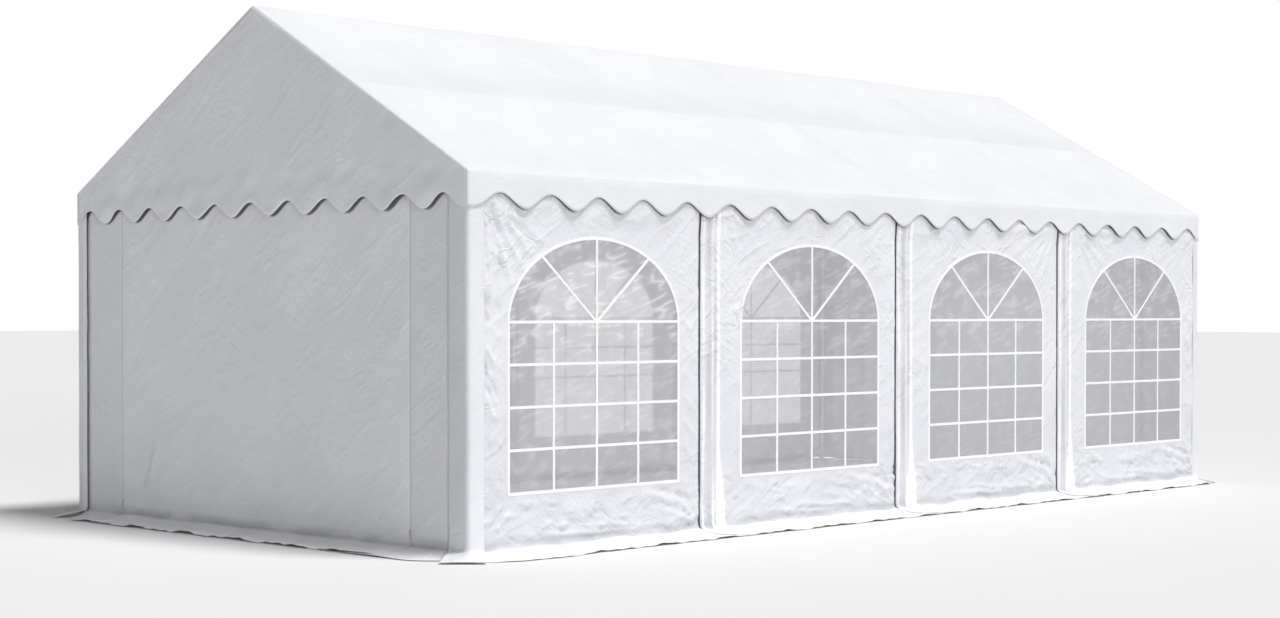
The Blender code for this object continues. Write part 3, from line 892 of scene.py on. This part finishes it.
# %% [markdown]
# ## The long walls
# Four panels hang side by side on each long side. Each starts at a seam just before a post, where it laps
# over its neighbour, swells out round the post, and runs flat to the next seam, where it dips behind the
# next panel. That dip is the dark line at each seam: its shade, which is also painted darker. The window's
# hole follows the columns: across it they are spaced as the cosine of an even angle, so that the arch is
# smooth down to its ends.

# %% Long wall panels
WINDOW_HALF = 0.705
WINDOW_SHIFT = 0.036
SPRING = 1.34
ROW = 0.245
SILL = SPRING - 4 * ROW
ARCH_RISE = 0.49
WINDOW_COLUMNS = 92
POST_COLUMNS = 24
LEFT_COLUMNS = 12
RIGHT_COLUMNS = 22
FILM_SHARE = 0.1
TOP_ROWS = 34
HOLE_ROWS = 44
WALL_LOWER_ROWS = 30
POST_STRIP = 0.17
TOP_LEAN = 0.01
SWELL = 0.0135
SWELL_MIDDLE = 0.0145
SWELL_REACH = 0.0715
LAP_DIP = 0.02
LAP_EDGE = 0.0025
FLAP_SLANT = 0.28
LAST_UNDERLAP = 0.008


def seam_dip(x, number):
    """0 on a panel, and 1 where it has dipped behind the next one."""
    right = SEAMS[number]
    return smooth(x, right - 0.02, right + 0.008) if number < 4 else 0 * x


def proud(x, number):
    """How far a panel stands off its plane: over its neighbour, round the post, behind the next one."""
    left = SEAMS[number - 1]
    out = -LAP_DIP * seam_dip(x, number)
    if number == 1:
        return out - 0.003 * fall(x, left, left + 0.03)
    post = POSTS[number - 2]
    round_post = SWELL * hump(x, post + SWELL_MIDDLE, SWELL_REACH) - 0.004 * hump(x, post + 0.088, 0.016)
    return out + round_post + LAP_EDGE * fall(x, left, left + 0.05)


PLEATS = [(-0.032, 0.009, 0.0045), (0.018, 0.024, -0.006), (0.055, 0.008, 0.004), (0.086, 0.011, -0.006)]


def post_pleats(x, z, number):
    """Upright pleats on the swell round a post, and right of it a ridge that widens to the foot."""
    if number == 1:
        return 0 * x
    from_post = x - POSTS[number - 2]
    width = 0.016 + 0.032 * fall(z, 0.05, 0.55)
    height = 0.0055 + 0.0045 * fall(z, 0.05, 0.6)
    total = height * np.exp(-((from_post - 0.11 - 0.3 * (width - 0.016)) / width) ** 2)
    for middle, width, height in PLEATS:
        wander = waves(z, (0.003, 1.3, 90 * middle))
        strength = 0.8 + waves(z, (0.35, 0.9 + 5 * middle, number))
        total = total + height * strength * np.exp(-((from_post - middle - wander) / width) ** 2)
    return total


def steps(start, drop, count):
    """Heights of evenly spaced folds, from the top one down."""
    return [start - drop * step for step in range(count)]


COMMON_FOLDS = [
    (fan, (-0.9, 0.06), (24, 44), 0.6, 0.05, 0.006),
    (fan, (0.92, 0.06), (158, 140, 118), 0.55, 0.055, 0.0075),
    (fan, (0.92, 2.1), (-150, -135, -118), 0.5, 0.06, 0.005),
    (fold, (-0.7, 0.36), (-0.48, 0.25), 0.026, 0.011),
    (fold, (0.3, 0.34), (0.88, 0.17), 0.024, 0.012),
    (fold, (0.42, 0.36), (0.9, 0.21), 0.02, -0.01),
    (fold, (-0.45, 0.115), (0.2, 0.085), 0.014, 0.012),
    (fold, (-0.2, 0.15), (0.52, 0.105), 0.014, 0.011),
    (fold, (-0.3, 0.24), (0.1, 0.27), 0.05, 0.01),
]


def row_of(start, end, heights, width, height):
    """Even folds above each other. Start and end are (a, height off the fold's own)."""
    return [(fold, (start[0], z + start[1]), (end[0], z + end[1]), width, height) for z in heights]


PANEL_FOLDS = {
    1: [(fan, (-0.91, 2.09), (-31, -43, -55, -67), 0.85, 0.036, 0.0105),
        (fold, (-0.875, 1.95), (-0.835, 1.3), 0.014, 0.0105),
        (fold, (-0.85, 1.7), (-0.865, 1.02), 0.013, 0.0085),
        (crumple, 611, 46, 0.13, 0.012, 0.013, (-75, -30), (-0.93, -0.72, 0.4, 2)),
        *row_of((0.7, 0), (0.88, -0.16), steps(1.4, 0.155, 6), 0.018, 0.0095)],
    2: [(fold, (-0.88, 1.375), (-0.62, 1.455), 0.018, 0.013),
        (fold, (-0.88, 1.33), (-0.74, 1.345), 0.014, 0.011),
        (fold, (-0.88, 1.415), (-0.7, 1.48), 0.012, -0.006),
        (fan, (-0.9, 2.1), (-35, -60, -80), 0.5, 0.07, 0.007)],
    3: [*row_of((-0.9, -0.05), (-0.7, 0.05), steps(1.26, 0.12, 5), 0.019, 0.009),
        (fan, (0.9, 2.08), (-172, -158, -146, -132, -118), 0.75, 0.055, 0.01)],
    4: [(fan, (-0.9, 2.08), (-8, -22, -36, -50, -66), 0.75, 0.055, 0.01),
        *row_of((0.7, 0), (0.88, -0.13), steps(1.42, 0.17, 5), 0.02, 0.009)],
}


def wall_folds(a, z, number, seed):
    """The creases of one long panel. a runs from its bay's middle and z is the height, in metres."""
    own = [(crumple, seed, 120, 0.19, 0.019, 0.0034, (-70, 60)), (swells, seed + 1, 0.55, 0.0016),
           (crumple, seed + 60, 100, 0.14, 0.014, 0.0095, (-25, 50), (-0.95, 0.95, 0.07, 0.34))]
    return add_up(a, z, own + COMMON_FOLDS + PANEL_FOLDS[number]) * fall(z, WALL_TOP - 0.1, WALL_TOP)


def arch_height(a):
    """The window's top: the spring line plus half an ellipse."""
    return SPRING + ARCH_RISE * np.sqrt(np.clip(1 - (a / WINDOW_HALF) ** 2, 0, 1))


def inside_window(a, z):
    """Distance in metres from the film's edge, inwards."""
    return np.minimum(np.minimum(WINDOW_HALF - np.abs(a), z - SILL), arch_height(a) - z)


def window_share(a, z):
    """The share of the wall's folds that is left: a tenth on the film and its border, all 8 cm off it."""
    return FILM_SHARE + (1 - FILM_SHARE) * smooth(-inside_window(a, z), 0.018, 0.08)


def middle_of(number):
    """The x of a window's middle: its bay's middle and a small shift to the right."""
    return -HALF_LENGTH + BAY * (number - 0.5) + WINDOW_SHIFT


def wall_columns(number, detail):
    """The x of a panel's columns, and how many lie left of the window and across it."""
    left, right = SEAMS[number - 1], SEAMS[number]
    across = int(WINDOW_COLUMNS * detail)
    window = middle_of(number) - WINDOW_HALF * np.cos(np.linspace(0, math.pi, across + 1))
    start = left - UNDERLAP if number == 1 else left
    stop = right + (LAST_UNDERLAP if number == 4 else UNDERLAP)
    post = np.linspace(start, start + POST_STRIP, int(POST_COLUMNS * detail) + 1)
    before = np.linspace(post[-1], window[0], int(LEFT_COLUMNS * detail) + 1)
    share = np.linspace(0, 1, int(RIGHT_COLUMNS * detail) + 1)[1:]
    after = window[-1] + (stop - window[-1]) * share ** 0.8
    return np.concatenate([post[:-1], before[:-1], window, after]), len(post) + len(before) - 2, across


def wall_grid(number, seed, detail):
    """A front panel: rows from the eave over the arch, beside the hole, below it and out to the flap."""
    x, left_count, across = wall_columns(number, detail)
    a = (x - middle_of(number))[None, :]
    top_rows, hole_rows = int(TOP_ROWS * detail), int(HOLE_ROWS * detail)
    over = arch_height(a) + np.linspace(1, 0, top_rows + 1)[:, None] * (WALL_TOP - arch_height(a))
    beside = np.linspace(SPRING, SILL, hole_rows + 1)[1:, None] + 0 * a
    z, share, lean, cloth_v = wall_rows(np.vstack([over, beside]), int(WALL_LOWER_ROWS * detail))

    out = proud(x, number)
    reach_x, reach_y, corner = 0, -(FLAP_REACH - out), 0
    if number == 1:
        corner = 1 - np.clip((x - x[0]) / (-3.775 - x[0]), 0, 1)
        reach_x = -0.09 * corner
        reach_y = reach_y - 0.035 * hump(x, -3.48, 0.5)
    if number == 4:
        corner = np.clip((x - 3.845) / (x[-1] - 3.845), 0, 1)
        reach_x = 0.09 * corner
    reach_y = reach_y * (1 - corner) - 0.125 * corner
    line = Line(x, -(WALL_Y + out), reach_x, reach_y, (1, 0))
    line.run = x

    slide = lap = 0 * (share + x)
    if number > 1:
        near = fall(x, x[0], x[0] + 0.55)
        slide = slide + FLAP_SLANT * share ** 4 * near
        lap = lap + 0.0045 * near * smooth(share, 0.2, 0.45)
    if number < 4:
        far = smooth(x, SEAMS[number] - 0.55, SEAMS[number] + UNDERLAP)
        slide = slide + (FLAP_SLANT + 0.05) * share ** 3 * far
    folds = wall_folds(a, z, number, seed) * (1 - 0.7 * smooth(share, 0.15, 0.7)) * window_share(a, z)
    pleats = post_pleats(x, z, number) * (1 - share)
    # Painted shade and highlight: folds and pleats go darker in hollows and lighter on crests, and the dip at
    # the next seam is painted dark.
    relief_shading = 1.2 * relief_of(folds) + 6 * relief_of(pleats) - 6 * seam_dip(x, number)
    edge_waves = flap_lift(x + slide, share, 0.7) * (1 - 0.6 * hump(x, -3.75, 0.75))
    lift = folds + pleats + edge_waves + lap + TOP_LEAN * smooth(z, 1.87, 2.03)
    places = line.lay(z, share, lean, lift, slide, 0.008)
    places[..., 1] -= flap_wobble(x + slide, share, 1.3)
    under_valance = z > EAVE - LOBE_DROP - 0.03
    places[..., 1] = np.where(under_valance, np.maximum(places[..., 1], -VALANCE_IN), places[..., 1])

    keep = np.ones((len(z) - 1, len(x) - 1), dtype=bool)
    keep[top_rows:top_rows + hole_rows, left_count:left_count + across] = False
    # The map's third column carries painted shade and light, and its last one paints the valance's shadow.
    return places, points_of(x + 11 * seed, cloth_v, relief_shading, 1 + z - long_edge(x)), keep


print("window", 2 * WINDOW_HALF, "m wide, from", round(SILL, 3), "to", round(SPRING + ARCH_RISE, 3), "m high")

# %% [markdown]
# ## The window's film and its bars
# The film fills the hole. It carries a tenth of the wall's folds, and small waves of its own that fade
# towards every strip welded to it. The bars are flat strips on it: a border round the hole, three uprights
# and three crossbars below the spring line, one on the line, and three rays above it.

# %% Film and bars
FILM_COLUMNS = 108
FILM_ROWS = 84
FILM_SINK = 0.0008
BAR_WIDTH = 0.017
BORDER_WIDTH = 0.019
BORDER_OUT = 0.004
BAR_STEP = 0.03
RAY_END = 0.63 * WINDOW_HALF


def on_film(a, z, number, seed, more=0):
    """Places on a film, which carries a tenth of its wall's folds and whatever more is given."""
    lift = wall_folds(a, z, number, seed) * window_share(a, z) + more
    return points_of(a + middle_of(number), -(WALL_Y - FILM_SINK + lift), z)


def bar_distance(a, z):
    """Distance in metres to the nearest bar: crossbars and uprights below the spring line, rays above it."""
    below = np.minimum(np.abs((z - SILL + ROW / 2) % ROW - ROW / 2),
                       np.abs((a + WINDOW_HALF / 4) % (WINDOW_HALF / 2) - WINDOW_HALF / 4))
    up = z - SPRING
    ray = math.atan2(arch_height(RAY_END) - SPRING, RAY_END)
    slanted = np.abs(np.abs(a) * math.sin(ray) - up * math.cos(ray))
    above = np.minimum(np.minimum(np.abs(a), slanted), np.abs(up))
    return np.where(up < 0, below, above)


def film_grid(number, seed, detail):
    """The film, with short waves that rise to the right and are calm near its edge and its bars."""
    a = -WINDOW_HALF * np.cos(np.linspace(0, math.pi, int(FILM_COLUMNS * detail) + 1))[None, :]
    z = SILL + np.linspace(1, 0, int(FILM_ROWS * detail) + 1)[:, None] * (arch_height(a) - SILL)
    calm = smooth(inside_window(a, z), 0, 0.06) * smooth(bar_distance(a, z), 0.01, 0.045)
    short = crumple(a, z, seed + 40, 120, 0.16, 0.017, 0.0026, (5, 60)) + swells(a, z, seed + 41, 0.2, 0.0006)
    return on_film(a, z, number, seed, calm * short), points_of(a + 5 * seed, z)


def bar_along(number, seed, start, end, height):
    """A flat strip on the film from start to end, each given as (a, z)."""
    long = math.dist(start, end)
    a, z = np.linspace(start, end, max(3, int(long / BAR_STEP) + 1)).T
    side = ((end[1] - start[1]) / long, 0, (start[0] - end[0]) / long)
    return carry(on_film(a, z, number, seed), side, flat_bar(BAR_WIDTH, height, 0.0006))


def border(number, seed):
    """The strip round the hole. Its line is the hole's outline and its rings lie in the wall's plane."""
    half, rise, foot = WINDOW_HALF + BORDER_OUT, ARCH_RISE + BORDER_OUT, SILL - BORDER_OUT
    angle = np.linspace(0, math.pi, 73)
    sides = np.linspace(SPRING, foot, 26)[1:]
    outline = np.vstack([
        points_of(half * np.cos(angle), SPRING + rise * np.sin(angle)), points_of(-half, sides),
        points_of(np.linspace(-half, half, 44)[1:-1], foot), points_of(half, sides[::-1])])
    ahead = directions(outline, True)
    side = points_of(ahead[:, 1], 0, -ahead[:, 0])
    corner = (np.abs(np.abs(outline[:, 0]) - half) < 1e-9) & (np.abs(outline[:, 1] - foot) < 1e-9)
    side[corner] *= math.sqrt(2)
    return carry(on_film(*outline.T, number, seed), side, flat_bar(BORDER_WIDTH, 0.0056, 0.0007), True)


def window_bars(number, seed):
    """Border, spring bar, rays, uprights and crossbars. Crossing bars differ in thickness by a hair."""
    left, right = -WINDOW_HALF, WINDOW_HALF
    strips = [((left, SPRING), (right, SPRING), 0.0052)]
    strips += [((0, SPRING), (a, arch_height(a)), 0.0046) for a in (-RAY_END, 0, RAY_END)]
    strips += [((a, SPRING), (a, SILL), 0.0048) for a in (left / 2, 0, right / 2)]
    strips += [((left, level), (right, level), 0.0044) for level in steps(SPRING - ROW, ROW, 3)]
    return [border(number, seed)] + [bar_along(number, seed, *strip) for strip in strips]


print("bars at", [round(level, 3) for level in steps(SPRING, ROW, 4)], "m, and rays above")

# %% [markdown]
# ## Building both long sides
# The rear side doesn't show but through the windows, so it is the front side turned half a turn, with
# creases of its own and fewer rows and columns. Each wall, its film and the bars on it are made in turn.

# %% Build both long sides
REAR_DETAIL = 0.6
for side, place, detail, more in (("front", tuple, 1, 0), ("rear", turned, REAR_DETAIL, 20)):
    for number in range(1, 5):
        seed = number + more
        label = f"{side}_wall_{number}"
        wall = sheet_piece(label + "_cloth", [place(wall_grid(number, seed, detail))], LONG_WALL)
        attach(wall, "root")
        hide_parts(label)

        solids = [place(solid) for solid in window_bars(number, seed)]
        bars = solid_piece(f"{side}_window_bars_{number}", solids, BARS)
        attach(bars, "root")
        grid = place(film_grid(number, seed, detail))
        film = sheet_piece(f"{side}_window_film_{number}", [grid], FILM, 0)
        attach(film, "root")
        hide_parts(f"{side}_window_{number}")

# %% [markdown]
# ## The end walls
# Each end has a wide door panel between two zips. Beside it stands a narrow flat panel, and round the
# corner post goes a separate wrap, which laps over both walls. Its foot is a band of cloth that leaves
# the corner diagonally and is cut off straight. The edges at a zip roll in a little, and below the zip
# they part in a short slit.

# %% End wall panels
ZIP_Y = 1.478
ZIP_ROLL = 0.0032
ZIP_COLUMNS = np.array([0.0002, 0.003, 0.006, 0.01, 0.016])
ZIP_STRIP = 0.026
END_ROWS = np.linspace(WALL_TOP, SILL, 61)[:, None]
WRAP_OUT = 0.0145
WRAP_EDGE = 0.0025
WRAP_ROUND = 0.03
WRAP_STEP = 0.027
TIP_NEAR = ((-4.2, -1.979), (-4.015, -2.176))


def zip_edge(s):
    """The cloth's edge rolls in beside a zip: -roll * exp(-(distance / 16 mm)^2)."""
    return -ZIP_ROLL * np.exp(-(s / 0.016) ** 2)


def slit(s, share):
    """Below a zip the two edges part: the opening is widest on the bend and closes on the flap."""
    return 0.014 * hump(share, 0.12, 0.14) * fall(s, 0, 0.05)


def edge_line(s, share):
    """Shade on the cut edge below a zip, deepest in the slit: 0 away from the edge, and up to 7 on it."""
    return fall(s, 0.002, 0.012) * (3 * smooth(share, 0.05, 0.2) + 4 * hump(share, 0.1, 0.12))


def by_zip(high, off, share):
    """Folds that fade within 6 cm of a zip, and the edge that rolls in there."""
    return high * smooth(off, 0, 0.06) + zip_edge(off) * (1 - share)


def door_grid(seed):
    """The left door, from outside: columns run from the rear zip to the front zip."""
    inner = np.linspace(-ZIP_Y + ZIP_STRIP, ZIP_Y - ZIP_STRIP, 128)
    y = np.concatenate([-ZIP_Y + ZIP_COLUMNS, inner, ZIP_Y - ZIP_COLUMNS[::-1]])[::-1]
    z, share, lean, down = wall_rows(END_ROWS)
    line = Line(np.full_like(y, -WALL_X), y, -FLAP_REACH, 0)
    s = line.run
    high = add_up(y, z, [
        (crumple, seed, 90, 0.26, 0.024, 0.0028, (112, 152)), (swells, seed + 1, 0.6, 0.0016),
        (crumple, seed + 2, 16, 0.8, 0.06, 0.005, (100, 135)),
        (crumple, seed + 3, 40, 0.2, 0.02, 0.0034, (100, 165), (-1.45, 1.45, 0.05, 0.3)),
        (fold, (1.19, 0.22), (1.02, 0.62), 0.035, 0.009), (fold, (1.25, 0.24), (1.08, 0.62), 0.03, -0.006),
        (fan, (-1.45, 0.1), (160, 140, 120), 0.8, 0.07, 0.005),
        (fan, (1.45, 2.12), (-125, -108), 0.9, 0.06, 0.005)])
    high = high * (1 - 0.8 * smooth(share, 0.1, 0.6)) * smooth(WALL_TOP - z, 0, 0.1)
    rear_end, front_end = fall(s, 0, 0.55), smooth(s, s[-1] - 0.55, s[-1])
    slide = -(FLAP_SLANT + 0.05) * share ** 3 * rear_end - FLAP_SLANT * share ** 4 * front_end
    slide = slide + slit(s, share) - slit(s[-1] - s, share)
    lift = by_zip(high, ZIP_Y - np.abs(y), share) + 1.5 * flap_lift(s + slide, share, 2.2)
    lift = lift + 0.0045 * front_end * smooth(share, 0.2, 0.45)
    places = line.lay(z, share, lean, lift, slide, 0.003)
    places[..., 0] -= flap_wobble(s, share, 2)
    # Painted shade: hollows of the folds, and a dark line on the cut edge below each zip and in its slit.
    relief_shading = relief_of(high, 0.012) - edge_line(s, share) - edge_line(s[-1] - s, share)
    return places, points_of(s + 3 * seed, down, relief_shading, 1 + z - gable_edge(y))


def narrow_grid(lap, seed, near):
    """The flat panel between a zip and the corner wrap, drawn at the corner at -X, -Y."""
    stop = -HALF_WIDTH + lap - UNDERLAP
    y = np.concatenate([-ZIP_Y - ZIP_COLUMNS, np.linspace(-ZIP_Y - ZIP_STRIP, stop, 24)])
    dip = -0.016 * fall(y, stop + 0.016, stop + (0.04 if near else 0.085))
    cut = np.clip((-1.73 - y) / (-1.73 - stop), 0, 1)
    z, share, lean, down = wall_rows(END_ROWS)
    line = Line(-(WALL_X + dip), y, -(FLAP_REACH + dip) * (1 - cut) - 0.1 * cut, -0.05 * cut, (0, -1))
    s = line.run
    high = crumple(y, z, seed, 44, 0.16, 0.018, 0.0012, (110, 155)) + swells(y, z, seed + 1, 0.4, 0.001)
    high = high * (1 - share) * smooth(WALL_TOP - z, 0, 0.1)
    fade = fall(s, 0, 0.3)
    if near:
        slant, slide, lap_lift = -1, -(FLAP_SLANT + 0.05) * share ** 3 * fade, 0
    else:
        slant, slide = 1, FLAP_SLANT * 0.8 * share ** 4 * fade
        lap_lift = 0.0045 * fade * smooth(share, 0.2, 0.45)
    slide = slide + slit(s, share)
    edge_waves = flap_lift(-y * slant + slide, share, 2.2) * (1 - cut)
    lift = by_zip(high, np.abs(y) - ZIP_Y, share) + edge_waves + lap_lift
    # Painted shade: the narrow panel is painted darker above its flap and dark along the slit's edge, and the
    # last column paints the valance's shadow.
    relief_shading = -1.6 * (1 - share) - edge_line(s, share)
    valance_shade = 1 + z - gable_edge(y if near else -y)
    return line.lay(z, share, lean, lift, slide, 0.003), points_of(s + 3 * seed, down, relief_shading, valance_shade)


def wrap_grid(laps, seed):
    """The wrap round the corner post at -X, -Y: from the end wall, round the corner, to the long wall."""
    front_lap, end_lap = laps
    turn_round = WRAP_ROUND if front_lap > 0.1 else 0.5 * WRAP_ROUND
    step, turn = np.linspace(0, 1, 7), np.linspace(0, math.pi / 2, 13)
    out = WRAP_EDGE + (WRAP_OUT - WRAP_EDGE) * smooth(step, 0, 1)
    x = np.concatenate([-(WALL_X + out), -(WALL_X + WRAP_OUT) + turn_round * (1 - np.cos(turn)),
                        -HALF_LENGTH + front_lap - WRAP_STEP * step[::-1]])
    y = np.concatenate([-HALF_WIDTH + end_lap - WRAP_STEP * step,
                        -(WALL_Y + WRAP_OUT) + turn_round * (1 - np.sin(turn)), -(WALL_Y + out[::-1])])
    tip_x, tip_y = np.linspace(*TIP_NEAR, len(x)).T
    line = Line(x, y, tip_x - x, tip_y - y)
    z, share, lean, down = wall_rows(END_ROWS)
    s = line.run
    high = swells(s, z, seed, 0.5, 0.0007) * smooth(z, 0.08, 0.2) * smooth(WALL_TOP - z, 0, 0.1)
    lift = high + (0.009 + 0.002 * np.sin(9 * s)) * smooth(share, 0.15, 0.5)
    # Painted light and shade: the foot band is painted whiter, and the wrap's side on the end wall darker.
    shade = fall(s, end_lap - 0.02, end_lap + 0.02)
    relief_shading = 3 * smooth(share, 0, 0.25) - 2.4 * shade * (1 - share)
    return line.lay(z, share, lean, lift, 0, 0), points_of(s + 3 * seed, down + 5, relief_shading, 0)


print("rows of an end wall:", len(wall_rows(END_ROWS)[0]))

# %% [markdown]
# ## Building both ends
# The door and the corner panels are drawn once, for the left end and its near corner. The other door is
# the first one turned, and the other corners are mirrored, turned or both, each with creases of its own.

# %% Build the end walls
NEAR_LAPS = (0.14, 0.187)
FAR_LAPS = (0.068, 0.096)
CORNERS = {
    "front_left": (NEAR_LAPS, False, tuple, 51), "rear_right": (NEAR_LAPS, False, turned, 57),
    "front_right": (FAR_LAPS, True, tuple, 63), "rear_left": (FAR_LAPS, True, turned, 69),
}
for side, seed, place in (("left", 71, tuple), ("right", 83, turned)):
    door = sheet_piece(side + "_door_cloth", [place(door_grid(seed))], END_WALL)
    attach(door, "root")
    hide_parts(side + "_door_panel")
for corner, (laps, flipped, place, seed) in CORNERS.items():
    grids = [narrow_grid(laps[1], seed, not flipped), wrap_grid(laps, seed + 2)]
    grids = [place(mirrored(grid) if flipped else grid) for grid in grids]
    panel = sheet_piece(corner + "_corner_cloth", grids, END_WALL)
    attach(panel, "root")
    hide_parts(corner + "_corner_panel")
print("end walls", len(door.data.polygons), "faces on a door")

# %% [markdown]
# ## Zips
# Each door closes with two upright zips. From outside only a thin soft line shows, because the cloth's
# edges roll in over it. Behind the gap lies the tape with its coil, and a slider with a pull tab sits at
# the bottom, where the zip ends above the flap.

# %% Zips
ZIP_DEEP = 0.0062
ZIP_FOOT = 0.105
SLIDER_Z = 0.135


def zip_solids(y):
    """Tape, coil, slider and pull tab of the left gable's zip at y."""
    x = -(WALL_X - ZIP_DEEP)
    upright = points_of(x, y, np.linspace(ZIP_FOOT, WALL_TOP - 0.01, 60))
    rise = np.linspace(-1, 1, 9)
    body = points_of(x - 0.005, y, SLIDER_Z + 0.012 * rise)
    hang = points_of(x - 0.0095 - 0.002 * rise, y, SLIDER_Z - 0.02 + 0.02 * rise)
    shapes = ((upright, flat_bar(0.03, 0.001, 0.0003)), (upright - [0.0018, 0, 0], ring(0.0028, 8)),
              (body, flat_bar(0.011, 0.006, 0.0015)), (hang, flat_bar(0.007, 0.0018, 0.0006)))
    return [carry(path, (0, 1, 0), profile) for path, profile in shapes]


for side, place, way in (("left", tuple, 1), ("right", turned, -1)):
    for end, y in (("rear", ZIP_Y), ("front", -ZIP_Y)):
        solids = [place(solid) for solid in zip_solids(way * y)]
        fastener = solid_piece(f"{side}_door_{end}_zip", solids, ZIP)
        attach(fastener, "root")
print("zips", len(fastener.data.polygons), "faces each")

# %% [markdown]
# ## Steel
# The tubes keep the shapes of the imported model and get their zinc.

# %% Steel tubes
for name, node in frame["nodes"].items():
    if "post" in name or "rafter" in name or "purlin" in name:
        node.data.materials.clear()
        node.data.materials.append(STEEL)

# %% [markdown]
# ## Measuring the result
# The triangles are counted with the cloth's thickness on.

# %% Sizes of the finished model
graph = bpy.context.evaluated_depsgraph_get()
counts = {}
for thing in scene.objects:
    if thing.type == "MESH" and not thing.hide_render and thing.name not in frame["nodes"]:
        mesh = thing.evaluated_get(graph).to_mesh()
        counts[thing.name] = sum(len(face.vertices) - 2 for face in mesh.polygons)
print("triangles", sum(counts.values()), "in all, and at most", max(counts.values()), "a piece")
